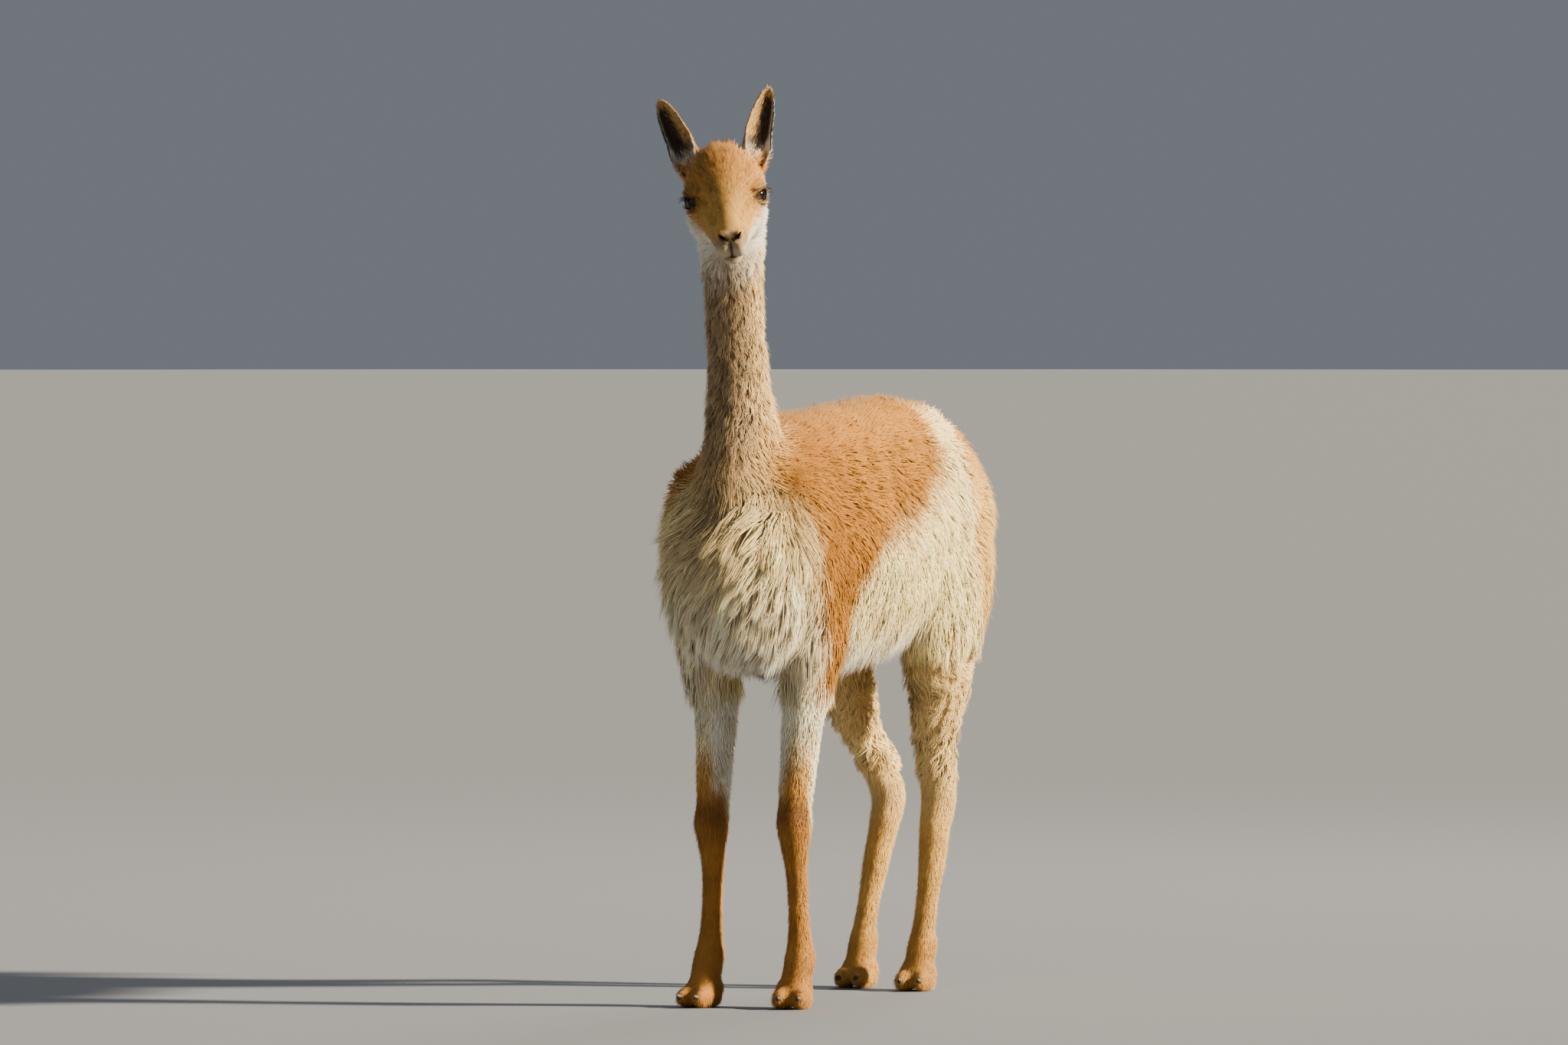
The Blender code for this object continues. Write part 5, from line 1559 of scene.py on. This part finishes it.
def lash_paths(draw):
    """Middle lines of the lashes of one eye, in the eye's frame."""
    paths = []
    for i in range(LASHES):
        upper = i < LASHES * UPPER_LID[0]
        part, first, span, lengths, lean, sag = UPPER_LID if upper else LOWER_LID
        share = (i if upper else i - LASHES * UPPER_LID[0]) / (LASHES * part)
        root = lid_rim(math.radians(first + span * share) + draw.normal(0, 0.02))
        length = draw.uniform(*lengths)
        outward = Vector((root.x, root.y, 0)).normalized() * lean
        heading = (outward + Vector((draw.normal(0, 0.08), draw.normal(0, 0.06), 0.75))).normalized()
        steps = np.linspace(0, 1, LASH_RINGS + 1)[:, None]
        path = np.array(root) + length * (np.array(heading) * steps - np.array((0, sag, 0)) * steps**2)
        paths.append(path)
    return np.array(paths)


def build_lashes(side):
    """The lashes of one eye."""
    draw = np.random.default_rng(40 + side)
    paths = lash_paths(draw)
    place = eye_place(side)
    paths = placed(paths.reshape(-1, 3), place).reshape(paths.shape)
    steps = np.linspace(0, 1, LASH_RINGS + 1)[:-1]
    widths = np.full((len(paths), 1), LASH_WIDTH) * (1 - steps**2)[None, :]
    outward = np.tile(np.array((place.to_3x3() @ Vector((0, 1, 0.2))).normalized()), (len(paths), 1))
    tints = np.tile(np.array(LEATHER), (len(paths), LASH_RINGS * 3 + 1, 1))
    flat = skin_layout[nearest(skin_points, paths[:, 0])]
    obj = tuft_mesh("lashes_left" if side > 0 else "lashes_right", paths, widths, outward, tints, flat)
    obj.data.materials.append(wool)
    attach(obj, "root")


corner_vertex, corner_flat = corner_arrays(skin.data)
skin_layout = np.zeros((len(skin.data.vertices), 2))
skin_layout[corner_vertex] = corner_flat
for side in (1, -1):
    build_lashes(side)
print("lashes:", 2 * LASHES)

# %% [markdown]
# ## Nails
# Each foot has two toes, and each toe a pointed nail in front of its soft pad. The nail is a drop of horn
# pressed into the toe, with fine growth ridges across it.

# %% Build the nails
NAIL_LENGTH = 0.021
NAIL_WIDTH = 0.0115
NAIL_HEIGHT = 0.0056
NAIL_TIP = -0.35
NAIL_CLEAR = 0.0004
# Ridges across the nail: their height, and how close they stand.
RIDGES = (0.012, 26)


def build_nails():
    """All eight nails as one piece."""
    nails = []
    for name in STANCE:
        for middle in toe_middles():
            centre = middle + Vector((0, NAIL_LENGTH * 0.36 - TOE_LENGTH / 2, 0.0005))
            mesh = bmesh.new()
            bmesh.ops.create_uvsphere(mesh, u_segments=32, v_segments=24, radius=1)
            for vert in mesh.verts:
                ahead = max(0, -vert.co.y)
                vert.co.x *= 0.92 - 0.62 * ahead**1.3
                vert.co.z *= 0.86 - 0.35 * ahead**1.5
                if vert.co.z > 0:
                    vert.co.z += RIDGES[0] * math.sin(vert.co.y * RIDGES[1])
            half = Matrix.Diagonal((NAIL_WIDTH / 2, NAIL_LENGTH / 2, NAIL_HEIGHT, 1))
            place = Matrix.Translation(centre) @ Matrix.Rotation(NAIL_TIP, 4, "X") @ half
            bmesh.ops.transform(mesh, matrix=foot_frame(name) @ place, verts=mesh.verts)
            nails.append(new_object("nail", mesh))
    obj = joined("nails", nails)
    obj.data.transform(Matrix.Translation(AT))
    for vert in obj.data.vertices:
        vert.co.z = max(vert.co.z, NAIL_CLEAR)
    shade_smooth(obj.data)
    return obj


def horn_material():
    """Dull, dark, faintly mottled horn."""
    made, tree, shader = blank_material("horn")
    noise = object_noise(tree, fineness=500, detail=2)
    ramp = tree.nodes.new("ShaderNodeValToRGB")
    ramp.color_ramp.elements[0].position = 0.3
    ramp.color_ramp.elements[0].color = (0.030, 0.022, 0.017, 1)
    ramp.color_ramp.elements[1].position = 0.7
    ramp.color_ramp.elements[1].color = (0.095, 0.070, 0.050, 1)
    tree.links.new(noise.outputs["Fac"], ramp.inputs["Fac"])
    tree.links.new(ramp.outputs["Color"], shader.inputs["Base Color"])
    set_sockets(shader, {"Roughness": 0.5})
    return made


nails = build_nails()
nails.data.materials.append(horn_material())
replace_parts(nails, *[f"{leg}_nail_{which}" for leg in STANCE for which in ("inner", "outer")])
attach(nails, "root")
print("nails:", len(nails.data.polygons), "faces")

# %% [markdown]
# ## Stage and light
# The animal stands on a plain pale floor. A warm, low sun shines from the right of the picture. A weak,
# cool lamp on the left and a pale blue world keep the shade open, and a lamp behind parts the coat from
# the background.


# %% Floor, lamps and world
def build_floor():
    """A wide, plain disc."""
    mesh = bmesh.new()
    bmesh.ops.create_circle(mesh, cap_ends=True, segments=96, radius=60)
    obj = new_object("floor", mesh)
    made, _, shader = blank_material("floor_paint")
    set_sockets(shader, {"Base Color": (0.19, 0.20, 0.22, 1), "Roughness": 0.9})
    obj.data.materials.append(made)


AZIMUTH = math.radians(24)
ELEVATION = math.radians(1.5)
ACROSS = Vector((math.cos(AZIMUTH), math.sin(AZIMUTH), 0))
LEVEL_VIEW = Vector((-math.sin(AZIMUTH), math.cos(AZIMUTH), 0))
VIEW = LEVEL_VIEW * math.cos(ELEVATION) - Vector((0, 0, math.sin(ELEVATION)))
AIM = Vector((0, 0, 0.75))


def aimed(data, turn, height, distance):
    """A lamp aimed at the animal's middle. The turn is from the camera's side towards the picture's right."""
    turn = math.radians(turn)
    out = ACROSS * math.sin(turn) - LEVEL_VIEW * math.cos(turn)
    obj = linked(data.name, data)
    obj.location = AIM + out * distance + Vector((0, 0, height))
    obj.rotation_euler = (obj.location - AIM).to_track_quat("Z", "Y").to_euler()


def soft_sun(name, turn, height, strength, angle, colour):
    """A sun, which lights the whole floor evenly. Its angle softens the edge of its shadows."""
    data = bpy.data.lights.new(name, "SUN")
    data.energy, data.angle, data.color = strength, math.radians(angle), colour
    aimed(data, turn, height, distance=5.0)


def soft_box(name, turn, height, distance, power, size, colour):
    """A square lamp with a large face."""
    data = bpy.data.lights.new(name, "AREA")
    data.shape = "SQUARE"
    data.energy, data.size, data.color = power, size, colour
    aimed(data, turn, height, distance)


build_floor()
soft_sun("key", turn=82, height=2.3, strength=15.0, angle=4, colour=(1.0, 0.87, 0.66))
soft_box("fill", turn=-50, height=1.2, distance=5.0, power=25, size=3.0, colour=(0.80, 0.90, 1.0))
soft_box("back", turn=160, height=3.0, distance=4.5, power=110, size=1.6, colour=(1.0, 0.95, 0.88))
world = bpy.data.worlds.new("pale")
world.use_nodes = True
set_sockets(world.node_tree.nodes["Background"], {"Color": (0.80, 0.89, 1.0, 1), "Strength": 0.20})
bpy.context.scene.world = world
print("lamps:", [light.name for light in bpy.data.lights])

# %% [markdown]
# ## Camera
# The photo was taken from far off, a little above the animal's chest and to its left, with its head
# turned to the lens. The picture's width fits the measures of the solids, so both show the animal at the
# same size.

# %% Place the camera
CAMERA_AWAY = 20.0
LENS = 320.6
SENSOR = 36.0
FOREFOOT = Vector((0.065, -0.25, 0))
PICTURE_ACROSS = -0.0535
PICTURE_HEIGHT = 0.697
target = ACROSS * PICTURE_ACROSS + LEVEL_VIEW * FOREFOOT.dot(LEVEL_VIEW)
target = target + Vector((0, 0, PICTURE_HEIGHT)) + Vector(AT)
camera_data = bpy.data.cameras.new("camera")
camera_data.lens = LENS
camera_data.sensor_width = SENSOR
camera_data.clip_end = 200
camera = linked("camera", camera_data)
camera.location = target - VIEW * CAMERA_AWAY
camera.rotation_euler = (-VIEW).to_track_quat("Z", "Y").to_euler()
bpy.context.scene.camera = camera
print("camera:", tuple(round(c, 3) for c in camera.location))
